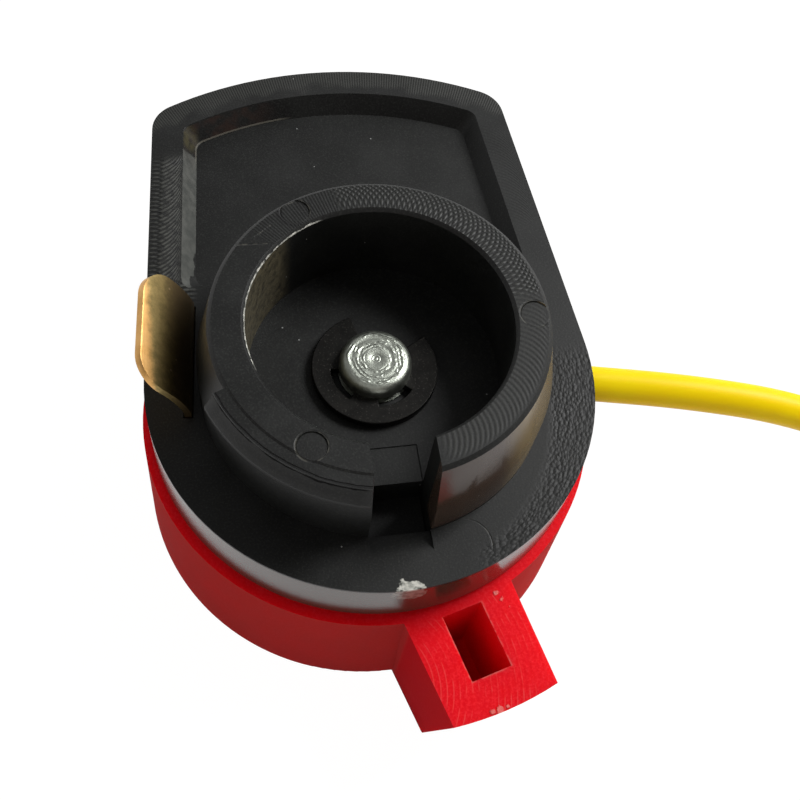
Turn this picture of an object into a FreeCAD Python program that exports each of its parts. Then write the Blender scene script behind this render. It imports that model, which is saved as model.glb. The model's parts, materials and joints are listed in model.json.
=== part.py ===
"""Engine stop switch: a turning red knob on a black base with a snap-in panel collar and one lead.

Millimetres. The origin lies on the knob's pivot axis at the base's rear seat face, +Z points out of
the rear through the panel collar, and +Y points to the top of the shield.
"""
import FreeCAD, Part
import math
import os
import re
import Sketcher

V = FreeCAD.Vector

# Driving dimensions: name, millimetres or degrees, what it is
SIZES = [
    ("seat_width", 3.95, "seat face left round the collar's foot"),
    ("plate_thickness", 5.2, "base plate, rear face to front face"),
    ("plate_edge", 0.4, "broken front edge of the plate"),
    ("joint_depth", 0.3, "how deep a rib runs into the wall that carries it"),
    ("web_thickness", 3.2, "plate left above the contact chamber"),
    ("skirt_wall", 1.6, "wall round the contact chamber"),
    ("shield_radius", 30.4, "arc at the top of the shield"),
    ("side_lean", 4.3, "degrees that each side of the shield leans inward"),
    ("shield_corner", 2.8, "rounding of the shield's two top corners"),
    ("rim_width", 2.5, "rim round the tray in the shield"),
    ("tray_depth", 1.5, "depth of the tray"),
    ("tray_end", 8.9, "lower end of the tray from the pivot"),
    ("tray_corner", 1.3, "rounding of the tray's corners at its floor"),
    ("tray_draft", 35.0, "degrees that the tray's wall slopes"),
    ("collar_height", 7.8, "panel collar above the seat face"),
    ("collar_step", 1.0, "how much narrower the collar is at its rear edge"),
    ("collar_foot", 12.8, "outside of the collar at its foot"),
    ("collar_land", 3.2, "height of the straight foot"),
    ("collar_wall", 2.5, "wall of the collar at its rear edge"),
    ("collar_edge", 0.25, "broken edge of the collar"),
    ("bore_floor", 0.5, "floor inside the collar above the seat face"),
    ("mark_radius", 1.05, "ejector pin mark on the collar"),
    ("mark_angle", -3.0, "degrees at which the first ejector pin mark lies"),
    ("mark_count", 3, "ejector pin marks"),
    ("mark_depth", 0.1, "depth of an ejector pin mark"),
    ("notch_width", 4.4, "notch through the collar"),
    ("notch_start", 6.2, "pivot to the inner end of the notch's floor"),
    ("notch_step", 0.1, "notch's floor below the floor inside the collar"),
    ("notch_depth", 2.4, "pocket in the plate at the notch"),
    ("pocket_lip", 0.25, "bore's wall to the pocket's inner side"),
    ("pocket_setback", 0.45, "pocket's outer side to the collar's foot"),
    ("notch_ramp", 1.3, "run of the ramp out of the pocket"),
    ("ramp_rise", 0.9, "height of the ramp"),
    ("bead_height", 1.5, "snap bead beyond the collar's rear edge"),
    ("bead_shoulder", 0.8, "flat shoulder of the bead beyond that edge"),
    ("bead_gap", 0.12, "collar's rear face to the bead's shoulder"),
    ("bead_ledge", 0.25, "height of the ledge under the shoulder"),
    ("bead_slope_height", 0.95, "height of the bead's lead-in slope"),
    ("bead_back_height", 1.3, "crest of the bead to its foot"),
    ("bead_start", 201.0, "degrees at which the bead starts"),
    ("bead_sweep", 58.0, "degrees that the bead runs"),
    ("stop_depth", 1.8, "stop rib below the web"),
    ("stop_width", 8.0, "degrees that a stop rib spans"),
    ("detent_depth", 1.0, "depth of a detent hole"),
    ("detent_hole", 1.0, "radius of a detent hole"),
    ("pin_radius", 2.65, "pivot pin"),
    ("pin_clearance", 0.05, "running clearance round the pin"),
    ("pin_end_length", 1.2, "pin beyond the clip"),
    ("pin_round", 0.65, "rounding of the pin's rear edge"),
    ("pin_dimple", 0.45, "centre dimple in the pin's end"),
    ("pin_floor_thickness", 1.05, "plastic left in front of the pin"),
    ("knurl_length", 5.0, "knurled stretch held in the hub"),
    ("knurl_cut", 0.25, "radius of a knurl groove"),
    ("knurl_count", 16, "knurl grooves"),
    ("groove_depth", 0.65, "depth of the clip groove"),
    ("clip_reach", 2.0, "retaining clip beyond the pin"),
    ("clip_thickness", 0.7, "retaining clip"),
    ("ear_reach", 1.25, "opening behind the clip's ears"),
    ("clip_mouth", 38.0, "degrees from the mouth's middle to its side"),
    ("clip_prong", 71.5, "degrees that a prong beside the mouth spans"),
    ("clip_heel", 39.0, "degrees that the prong opposite the mouth spans"),
    ("clip_turn", 67.5, "degrees at which the mouth points"),
    ("clip_play", 0.05, "gap under the clip"),
    ("knob_gap", 0.3, "gap between base and knob"),
    ("knob_depth", 11.75, "knob, rear face to front face"),
    ("knob_overhang", 0.65, "knob beyond the base plate"),
    ("knob_draft", 0.4, "growth of the knob towards its front"),
    ("knob_edge", 0.5, "rounding of the knob's front edge"),
    ("knob_wall", 2.4, "wall round the hollow of the knob"),
    ("chamber_depth", 6.25, "depth of the hollow"),
    ("chamber_round", 0.8, "rounding at the bottom of the hollow"),
    ("hub_wall", 1.95, "wall of the hub round the pin"),
    ("thrust_gap", 0.1, "gap between hub and web"),
    ("dish_wall", 2.0, "knob outside the dish in its front"),
    ("dish_depth", 3.5, "depth of the dish"),
    ("dish_slope", 1.0, "run of the dish's wall"),
    ("grip_width", 7.8, "grip bar across the dish at the lever"),
    ("grip_tail", 5.4, "grip bar at its far end"),
    ("lever_turn", 14.75, "degrees between the lever and the mirror line"),
    ("lever_root", 4.38, "half width of the lever at the knob"),
    ("lever_half", 4.08, "half width of the lever at its end"),
    ("lever_reach", 25.2, "end of the lever from the pivot, rear face"),
    ("lever_undercut", 2.2, "how much shorter the lever is at its front face"),
    ("lever_edge", 0.3, "broken edges of the lever"),
    ("core_gap", 0.06, "knob's outside to the coring pocket"),
    ("core_wall", 2.7, "wall at the far end of the coring pocket"),
    ("core_half", 1.55, "half width of the coring pocket"),
    ("core_depth", 9.4, "depth of the coring pocket"),
    ("tongue_wall", 1.65, "thickness of the knob's stop tongue"),
    ("tongue_half", 7.5, "degrees to each side of the stop tongue"),
    ("tongue_foot", 3.0, "foot of the tongue on the knob's wall"),
    ("stop_gap", 0.5, "degrees left between tongue and stop rib"),
    ("detent_offset", 3.2, "knob's wall to the middle of the detent ball"),
    ("detent_angle", 60.0, "degrees at which the ball rests"),
    ("ball_radius", 1.5, "detent ball"),
    ("ball_gap", 0.05, "gap between ball and web"),
    ("ball_clearance", 0.05, "clearance round the ball"),
    ("boss_wall", 0.95, "wall round the detent bore"),
    ("boss_gap", 0.7, "gap between detent boss and web"),
    ("boss_rib", 1.2, "thickness of the rib behind the detent boss"),
    ("detent_bore", 5.6, "depth of the detent bore"),
    ("detent_wire", 0.3, "wire of the detent spring"),
    ("detent_turns", 6.0, "turns of the detent spring"),
    ("strip_thickness", 0.5, "brass strip"),
    ("strip_width", 2.6, "brass strip under the bridge"),
    ("strip_gap", 1.65, "tongue's slot to the strips' outer edge"),
    ("tongue_angle", 175.0, "degrees at which the ground tongue stands"),
    ("tongue_width", 9.3, "ground tongue"),
    ("tongue_side", 1.4, "how far the ground tongue lies to the right of its direction"),
    ("slot_gap", 0.45, "collar's foot to the tongue in its slot"),
    ("slot_clearance", 0.1, "clearance round the tongue in its slot"),
    ("tongue_bend", 0.7, "height at which the tongue leans out"),
    ("tongue_overhang", 3.5, "tip of the tongue beyond its foot"),
    ("tongue_slope", 55.0, "degrees between the tongue's tip and the panel"),
    ("tongue_rise", 5.6, "tip of the tongue above the seat face"),
    ("tongue_belly", 9.0, "radius of the tongue's outward curve"),
    ("tongue_corner", 2.2, "rounding of the tongue's corners"),
    ("arm_angle", 143.0, "degrees at which one bridge arm rests"),
    ("arm_width", 4.4, "arm of the contact bridge"),
    ("arm_gap", 0.2, "end of a bridge arm inside the strip's edge"),
    ("bridge_thickness", 0.5, "contact bridge"),
    ("ring_border", 0.25, "bridge's ring beyond the contact spring"),
    ("bridge_clearance", 0.2, "clearance between hub and bridge"),
    ("tip_radius", 1.2, "contact tip on the bridge"),
    ("tip_height", 0.6, "contact tip above its arm"),
    ("contact_gap", 0.05, "gap between contact tip and strip"),
    ("key_height", 1.0, "keys on the hub that turn the bridge"),
    ("key_width", 1.6, "key on the hub"),
    ("key_length", 3.0, "length of a key"),
    ("spring_wire", 0.7, "wire of the contact spring"),
    ("spring_gap", 0.35, "gap between keys and contact spring"),
    ("spring_turns", 5.0, "turns of the contact spring"),
    ("strip_end", 7.0, "degrees that each strip runs past its arm"),
    ("stake_angle", 22.0, "degrees from the arm to the heat stake"),
    ("stake_radius", 0.8, "heat stake"),
    ("stake_head", 1.3, "head of a heat stake"),
    ("stake_height", 0.6, "height of that head"),
    ("lead_radius", 1.4, "lead over its insulation"),
    ("core_radius", 0.65, "conductor of the lead"),
    ("lead_height", 0.15, "middle of the lead above the web's front face"),
    ("lead_angle", -11.0, "degrees at which the lead leaves the base"),
    ("lead_side", 2.55, "distance of the lead's line from the pivot"),
    ("lead_grip_length", 4.25, "insulation held inside the base"),
    ("conductor_gap", 1.4, "strip's inner edge to the conductor's end"),
    ("lead_clearance", 0.1, "clearance round the lead in its hole"),
    ("solder_radius", 1.2, "solder joint"),
    ("solder_height", 0.7, "height of the solder joint"),
    ("coil_radius", 15.5, "middle of the coiled lead's turns"),
    ("terminal_radius", 1.95, "bullet terminal"),
    ("bullet_length", 9.0, "bullet in front of its shoulder"),
    ("barrel_length", 9.0, "crimped barrel and neck"),
    ("neck_radius", 1.17, "neck between barrel and bullet"),
    ("neck_length", 1.5, "neck between barrel and bullet"),
    ("neck_slope_length", 0.8, "slope from barrel to neck"),
    ("waist_radius", 1.52, "groove round the bullet"),
    ("waist_width", 1.6, "groove round the bullet"),
    ("waist_slope_width", 0.6, "slope on each side of that groove"),
    ("nose_length", 1.6, "bullet in front of its groove"),
    ("nose_radius", 2.5, "curve of the bullet's nose"),
    ("nose_flat", 0.68, "radius of the flat at the bullet's tip"),
    ("barrel_radius", 2.1, "outside of the crimped barrel"),
    ("sleeve_wall", 0.5, "insulating sleeve"),
    ("sleeve_length", 11.5, "insulating sleeve"),
    ("sleeve_taper_length", 2.0, "taper of the sleeve behind the barrel"),
]
NAMES = {name for name, _, _ in SIZES}

# Radii, levels and directions that follow from the sizes, each a name for its formula
FORMULAS = {
    "plate_radius": "collar_foot + seat_width",
    "skirt_bore": "plate_radius - skirt_wall",
    "collar_radius": "collar_foot - collar_step",
    "collar_bore": "collar_radius - collar_wall",
    "bead_reach": "collar_radius + bead_height",
    "bead_rim": "collar_radius + bead_shoulder",
    "pocket_near": "collar_bore - pocket_lip",
    "pocket_far": "collar_foot - pocket_setback",
    "mark_place": "collar_radius - mark_radius",
    "pin_hole": "pin_radius + pin_clearance",
    "groove_radius": "pin_radius - groove_depth",
    "clip_radius": "pin_radius + clip_reach",
    "clip_ear": "groove_radius + ear_reach",
    "slot_radius": "collar_foot + slot_gap",
    "tongue_reach": "slot_radius + tongue_overhang",
    "strip_outer": "slot_radius - strip_gap",
    "strip_inner": "strip_outer - strip_width",
    "strip_middle": "strip_outer - strip_width / 2",
    "arm_reach": "strip_outer - arm_gap",
    "knob_radius": "plate_radius + knob_overhang",
    "chamber_radius": "knob_radius - knob_wall",
    "dish_radius": "knob_radius - dish_wall",
    "hub_radius": "pin_radius + hub_wall",
    "lever_front": "lever_reach - lever_undercut",
    "core_near": "knob_radius + core_gap",
    "core_far": "lever_reach - core_wall",
    "stop_radius": "skirt_bore - knob_gap",
    "detent_place": "chamber_radius - detent_offset",
    "ball_bore": "ball_radius + ball_clearance",
    "detent_coil": "ball_radius - detent_wire",
    "ball_seat": "sqrt((ball_radius + detent_wire / 2)^2 - detent_coil^2) - detent_wire / 2",
    "key_reach": "hub_radius + key_height",
    "spring_radius": "key_reach + spring_gap + spring_wire / 2",
    "bridge_ring": "spring_radius + spring_wire / 2 + ring_border",
    "lead_start": "plate_radius - lead_grip_length",
    "conductor_start": "strip_inner + conductor_gap",
    "plate_front": "0 - plate_thickness",
    "web_front": "0 - web_thickness",
    "notch_floor": "bore_floor - notch_step",
    "bead_top": "collar_height - bead_gap",
    "bead_crest": "bead_top - bead_ledge - bead_slope_height",
    "bead_foot": "bead_crest - bead_back_height",
    "clip_front": "bore_floor + clip_play",
    "clip_rear": "clip_front + clip_thickness",
    "pin_rear": "clip_rear + pin_end_length",
    "knob_rear": "plate_front - knob_gap",
    "knob_front": "knob_rear - knob_depth",
    "chamber_floor": "knob_rear - chamber_depth",
    "dish_floor": "knob_front + dish_depth",
    "pin_front": "dish_floor + pin_floor_thickness",
    "hub_rear": "web_front - thrust_gap",
    "strip_front": "web_front - strip_thickness",
    "bridge_rear": "strip_front - contact_gap - tip_height",
    "bridge_front": "bridge_rear - bridge_thickness",
    "ball_level": "web_front - ball_gap - ball_radius",
    "boss_rear": "web_front - boss_gap",
    "lead_level": "web_front + lead_height",
    "lever": "0 - 90 + lever_turn",
    "ground_arm": "arm_angle",
    "line_arm": "arm_angle - 180",
}

# How near two places count as the same when an edge is looked for
TOUCH = 0.02

doc = FreeCAD.newDocument("engine_stop_switch")
sheet = doc.addObject("Spreadsheet::Sheet", "Sizes")
for row, (name, number, meaning) in enumerate(SIZES, start=1):
    sheet.set(f"A{row}", meaning)
    sheet.set(f"B{row}", str(number))
    sheet.setAlias(f"B{row}", name)
doc.recompute()


def bound(text):
    """The expression with formulas written out and each size's name pointing at its cell."""
    def spell(match):
        word = match.group()
        if word in FORMULAS:
            return f"({bound(FORMULAS[word])})"
        return "Sizes." + word if word in NAMES else word

    return re.sub(r"[a-z_]+", spell, text)


def value(text):
    """The number that an expression gives with the sheet's present sizes."""
    return float(sheet.evalExpression(bound(text)))


def tie(thing, place, text):
    thing.setExpression(place, bound(text))


def polar(radius, angle):
    """The place at a radius and an angle in degrees."""
    return f"({radius}) * cos({angle})", f"({radius}) * sin({angle})"


def turned(along, across, angle):
    """The place that lies along and across a direction in degrees."""
    return (
        f"({along}) * cos({angle}) - ({across}) * sin({angle})",
        f"({along}) * sin({angle}) + ({across}) * cos({angle})",
    )


def body(name):
    piece = doc.addObject("PartDesign::Body", name)
    piece.Label = name
    return piece


def sketch(owner, name, plane, level=None, turn=None):
    """An empty sketch on one of the body's planes, lifted to a level or swung about the pivot."""
    drawing = owner.newObject("Sketcher::SketchObject", name)
    support = next(f for f in owner.Origin.OriginFeatures if f.Role == plane + "_Plane")
    drawing.AttachmentSupport = [(support, "")]
    drawing.MapMode = "FlatFace"
    if level is not None:
        tie(drawing, "AttachmentOffset.Base.z", level)
    if turn is not None:
        drawing.AttachmentOffset = FreeCAD.Placement(V(), FreeCAD.Rotation(V(0, 1, 0), value(turn)))
        tie(drawing, "AttachmentOffset.Rotation.Angle", turn)
    return drawing


def fix_point(drawing, curve, end, across, up):
    """Ties one end of a curve, or a circle's centre, to its two coordinates."""
    for kind, text in (("DistanceX", across), ("DistanceY", up)):
        number = drawing.addConstraint(Sketcher.Constraint(kind, -1, 1, curve, end, value(text)))
        tie(drawing, f"Constraints[{number}]", text)


def fix_radius(drawing, curve, text):
    number = drawing.addConstraint(Sketcher.Constraint("Radius", curve, value(text)))
    tie(drawing, f"Constraints[{number}]", text)


def circle(drawing, across, up, radius):
    shape = Part.Circle(V(value(across), value(up), 0), V(0, 0, 1), value(radius))
    curve = drawing.addGeometry(shape, False)
    fix_point(drawing, curve, 3, across, up)
    fix_radius(drawing, curve, radius)


def arc_centre(start, end, radius, bend, large):
    """Centre of the arc from start to end that bends left (1) or right (-1)."""
    chord = end - start
    side = V(-chord.y, chord.x, 0).normalize()
    away = math.sqrt(max(radius**2 - (chord.Length / 2) ** 2, 0))
    return (start + end) / 2 + side * away * bend * (-1 if large else 1)


def outline(drawing, corners):
    """A closed outline; a corner is (across, up, edge to the next), an edge None or an arc."""
    spots = [V(value(across), value(up), 0) for across, up, _ in corners]
    curves = []
    for number, (_, _, edge) in enumerate(corners):
        start, end = spots[number], spots[(number + 1) % len(spots)]
        if edge is None:
            curve = drawing.addGeometry(Part.LineSegment(start, end), False)
            curves.append((curve, 1, 2))
            continue
        radius, bend, large = edge
        centre = arc_centre(start, end, value(radius), bend, large)
        first, last = (start, end) if bend > 0 else (end, start)
        angles = [math.atan2(spot.y - centre.y, spot.x - centre.x) for spot in (first, last)]
        whole = Part.Circle(centre, V(0, 0, 1), value(radius))
        curve = drawing.addGeometry(Part.ArcOfCircle(whole, *angles), False)
        curves.append((curve, 1, 2) if bend > 0 else (curve, 2, 1))
        fix_radius(drawing, curve, radius)
    for number, (curve, start, _) in enumerate(curves):
        before, _, end = curves[number - 1]
        drawing.addConstraint(Sketcher.Constraint("Coincident", before, end, curve, start))
        fix_point(drawing, curve, start, corners[number][0], corners[number][1])


def left_arc(radius, large=False):
    return radius, 1, large


def right_arc(radius, large=False):
    return radius, -1, large


def sector(drawing, inner, outer, start, end):
    """A ring's sector between two radii and two angles."""
    outline(drawing, [
        (*polar(outer, start), left_arc(outer)),
        (*polar(outer, end), None),
        (*polar(inner, end), right_arc(inner)),
        (*polar(inner, start), None),
    ])


def bar(drawing, near, far, near_half, far_half, angle, side="0"):
    """A straight or tapering bar along a direction, or some way to the right of it."""
    outline(drawing, [
        (*turned(near, f"0 - ({side}) - ({near_half})", angle), None),
        (*turned(far, f"0 - ({side}) - ({far_half})", angle), None),
        (*turned(far, f"({far_half}) - ({side})", angle), None),
        (*turned(near, f"({near_half}) - ({side})", angle), None),
    ])


def feature(owner, kind, name, drawing, length, down=False, middle=False, taper=None):
    """A pad or pocket of a sketch."""
    made = owner.newObject("PartDesign::" + kind, name)
    made.Profile = drawing
    tie(made, "Length", length)
    made.Reversed = down
    made.Midplane = middle
    if taper is not None:
        tie(made, "TaperAngle", taper)
    drawing.Visibility = False
    doc.recompute()
    return made


def turn_about_axis(owner, kind, name, drawing, angle="360"):
    """A revolution or groove about the sketch's own vertical axis."""
    made = owner.newObject("PartDesign::" + kind, name)
    made.Profile = drawing
    made.ReferenceAxis = (drawing, ["V_Axis"])
    tie(made, "Angle", angle)
    doc.recompute()
    return made


def repeat_round(owner, name, made, drawing, count):
    """Copies of a feature evenly spaced about the sketch's own upright axis."""
    pattern = owner.newObject("PartDesign::PolarPattern", name)
    pattern.Originals = [made]
    pattern.Axis = (drawing, ["N_Axis"])
    pattern.Angle = 360
    tie(pattern, "Occurrences", count)
    owner.Tip = pattern
    doc.recompute()


def edges(made, test):
    """Names of the edges whose middle and ends pass a test."""
    names = []
    for number, edge in enumerate(made.Shape.Edges, start=1):
        middle = edge.valueAt((edge.FirstParameter + edge.LastParameter) / 2)
        if test(edge, middle):
            names.append(f"Edge{number}")
    return names


def dress(owner, kind, name, made, names, size):
    """A fillet or chamfer on named edges of the last feature."""
    done = owner.newObject("PartDesign::" + kind, name)
    done.Base = (made, names)
    tie(done, "Radius" if kind == "Fillet" else "Size", size)
    doc.recompute()
    return done


def near(a, b):
    return abs(a - b) < TOUCH


def upright(edge):
    return edge.BoundBox.XLength < TOUCH and edge.BoundBox.YLength < TOUCH


# Base housing


def shield_point(reach, arc, side):
    """Where a side of the shield, at its distance from the pivot, meets the top arc."""
    along = f"sqrt(({arc})^2 - ({reach})^2)"
    across = f"({reach}) * cos(side_lean) - {along} * sin(side_lean)"
    up = f"({reach}) * sin(side_lean) + {along} * cos(side_lean)"
    return (across if side > 0 else f"0 - ({across})"), up


def plate_outline(drawing):
    right = ("plate_radius * cos(side_lean)", "plate_radius * sin(side_lean)")
    left = ("0 - plate_radius * cos(side_lean)", right[1])
    outline(drawing, [
        (*right, None),
        (*shield_point("plate_radius", "shield_radius", 1), left_arc("shield_radius")),
        (*shield_point("plate_radius", "shield_radius", -1), None),
        (*left, left_arc("plate_radius", large=True)),
    ])


def tray_outline(drawing):
    reach = "(plate_radius - rim_width)"
    arc = "(shield_radius - rim_width)"
    foot = f"({reach} - tray_end * sin(side_lean)) / cos(side_lean)"
    outline(drawing, [
        (foot, "tray_end", None),
        (*shield_point(reach, arc, 1), left_arc(arc)),
        (*shield_point(reach, arc, -1), None),
        (f"0 - {foot}", "tray_end", None),
    ])


def raise_plate(base):
    """The plate with its round end and its shield, its corners rounded and its front edge broken."""
    drawing = sketch(base, "plate_outline", "XY")
    plate_outline(drawing)
    plate = feature(base, "Pad", "plate", drawing, "plate_thickness", down=True)
    corners = edges(plate, lambda e, m: upright(e) and m.y > value("plate_radius"))
    rounded = dress(base, "Fillet", "shield_corners", plate, corners, "shield_corner")
    front = value("plate_front")
    names = edges(rounded, lambda e, m: near(m.z, front) and near(e.BoundBox.ZLength, 0))
    dress(base, "Chamfer", "front_edge", rounded, names, "plate_edge")


def cut_tray(base):
    drawing = sketch(base, "tray_outline", "XY")
    tray_outline(drawing)
    tray = feature(base, "Pocket", "tray", drawing, "tray_depth", taper="0 - tray_draft")
    floor = 0 - value("tray_depth")
    slopes = edges(tray, lambda e, m: near(e.BoundBox.ZLength, 0 - floor) and m.z > floor)
    dress(base, "Fillet", "tray_corners", tray, slopes, "tray_corner")


def raise_collar(base):
    """The collar with the floor inside it."""
    drawing = sketch(base, "collar_profile", "XZ")
    outline(drawing, [
        ("pin_hole", "web_front", None),
        ("collar_foot", "web_front", None),
        ("collar_foot", "collar_land", None),
        ("collar_radius", "collar_height", None),
        ("collar_bore", "collar_height", None),
        ("collar_bore", "bore_floor", None),
        ("pin_hole", "bore_floor", None),
    ])
    collar = turn_about_axis(base, "Revolution", "collar", drawing)
    top = value("collar_height")
    rims = edges(collar, lambda e, m: near(m.z, top))
    dress(base, "Chamfer", "collar_edges", collar, rims, "collar_edge")


def add_snap_bead(base):
    drawing = sketch(base, "bead_profile", "XZ", turn="bead_start")
    root = "(collar_bore + collar_radius) / 2"
    outline(drawing, [
        (root, "bead_foot", None),
        ("collar_radius", "bead_foot", None),
        ("bead_reach", "bead_crest - bead_slope_height / 2", None),
        ("bead_reach", "bead_crest", None),
        ("bead_rim", "bead_top - bead_ledge", None),
        ("bead_rim", "bead_top", None),
        (root, "bead_top", None),
    ])
    turn_about_axis(base, "Revolution", "snap_bead", drawing, "bead_sweep")


def cut_chamber(base):
    """The contact chamber in the plate's front and the pin's hole."""
    drawing = sketch(base, "chamber_outline", "XY", level="plate_front")
    circle(drawing, "0", "0", "skirt_bore")
    feature(base, "Pocket", "contact_chamber", drawing, "plate_thickness - web_thickness", down=True)
    drawing = sketch(base, "pin_hole_outline", "XY", level="bore_floor")
    circle(drawing, "0", "0", "pin_hole")
    feature(base, "Pocket", "pin_hole", drawing, "bore_floor + plate_thickness")


def cut_notch(base):
    """The notch through the collar, with a pocket in the plate and a ramp out of it."""
    drawing = sketch(base, "notch_profile", "YZ")
    ramp_end = "(0 - collar_foot - notch_ramp)"
    over = "2 * collar_height"
    outline(drawing, [
        ("0 - notch_start", over, None),
        ("0 - notch_start", "notch_floor", None),
        ("0 - pocket_near", "notch_floor", None),
        ("0 - pocket_near", "0 - notch_depth", None),
        ("0 - pocket_far", "0 - notch_depth", None),
        ("0 - pocket_far", "0 - ramp_rise", None),
        (ramp_end, "0", None),
        (ramp_end, over, None),
    ])
    feature(base, "Pocket", "collar_notch", drawing, "notch_width", middle=True)


def press_ejector_marks(base):
    drawing = sketch(base, "mark_outline", "XY", level="collar_height")
    circle(drawing, *polar("mark_place", "mark_angle"), "mark_radius")
    mark = feature(base, "Pocket", "ejector_mark", drawing, "mark_depth")
    repeat_round(base, "ejector_marks", mark, drawing, "mark_count")


def cut_tongue_slot(base):
    drawing = sketch(base, "slot_outline", "XY")
    half = "tongue_width / 2 + slot_clearance"
    near_side = "slot_radius - slot_clearance"
    far_side = "slot_radius + strip_thickness + slot_clearance"
    bar(drawing, near_side, far_side, half, half, "tongue_angle", "tongue_side")
    feature(base, "Pocket", "tongue_slot", drawing, "web_thickness")


def add_stops(base):
    """The two ribs in the chamber that the knob's tongue meets at the ends of its travel."""
    for side, name in ((1, "right_stop"), (-1, "left_stop")):
        near_face = f"0 - 90 + {side} * (lever_turn + tongue_half + stop_gap)"
        far_face = f"0 - 90 + {side} * (lever_turn + tongue_half + stop_gap + stop_width)"
        ends = (near_face, far_face) if side > 0 else (far_face, near_face)
        drawing = sketch(base, name + "_outline", "XY", level="web_front")
        sector(drawing, "stop_radius - tongue_wall", "skirt_bore + joint_depth", *ends)
        feature(base, "Pad", name, drawing, "stop_depth", down=True)


def drill_detents(base):
    """A hole for the ball at each of the knob's two positions."""
    for number, back in enumerate(("0", "2 * lever_turn")):
        drawing = sketch(base, f"detent_outline_{number}", "XY", level="web_front")
        circle(drawing, *polar("detent_place", f"detent_angle - {back}"), "detent_hole")
        feature(base, "Pocket", f"detent_hole_{number}", drawing, "detent_depth", down=True)


def add_stakes(base):
    """Heat stakes that hold the two brass strips."""
    for name, arm in (("ground_stake", "ground_arm"), ("line_stake", "line_arm")):
        place = polar("strip_middle", f"{arm} + stake_angle")
        drawing = sketch(base, name + "_outline", "XY", level="web_front")
        circle(drawing, *place, "stake_radius")
        feature(base, "Pad", name, drawing, "strip_thickness + stake_height", down=True)
        drawing = sketch(base, name + "_head_outline", "XY", level="strip_front")
        circle(drawing, *place, "stake_head")
        feature(base, "Pad", name + "_head", drawing, "stake_height", down=True)


def bore_for_lead(base):
    """The lead's hole through the plate's side and the groove for its conductor."""
    hole = base.newObject("PartDesign::SubtractiveCylinder", "lead_hole")
    tie(hole, "Radius", "lead_radius + lead_clearance")
    tie(hole, "Height", "plate_radius")
    lay_along_lead(hole, "lead_start - lead_clearance")
    doc.recompute()
    groove = base.newObject("PartDesign::SubtractiveCylinder", "conductor_groove")
    tie(groove, "Radius", "core_radius + lead_clearance")
    tie(groove, "Height", "lead_start - strip_inner")
    lay_along_lead(groove, "strip_inner")
    doc.recompute()


def make_base_housing():
    base = body("base_housing")
    raise_plate(base)
    cut_tray(base)
    raise_collar(base)
    add_snap_bead(base)
    cut_chamber(base)
    cut_notch(base)
    press_ejector_marks(base)
    cut_tongue_slot(base)
    add_stops(base)
    drill_detents(base)
    add_stakes(base)
    bore_for_lead(base)
    return base


def lay_along_lead(thing, along):
    """Puts a cylinder's axis on the line on which the lead leaves the base."""
    place = turned(along, "lead_side", "lead_angle")
    turn = FreeCAD.Rotation(V(0, 0, 1), value("lead_angle")) * FreeCAD.Rotation(V(0, 1, 0), 90)
    thing.Placement = FreeCAD.Placement(V(*lead_place(along)), turn)
    tie(thing, "Placement.Base.x", place[0])
    tie(thing, "Placement.Base.y", place[1])
    tie(thing, "Placement.Base.z", "lead_level")


def lead_place(along):
    """The place on the lead's line, in millimetres."""
    across, up = turned(along, "lead_side", "lead_angle")
    return value(across), value(up), value("lead_level")


# Knob, pin and clip


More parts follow.
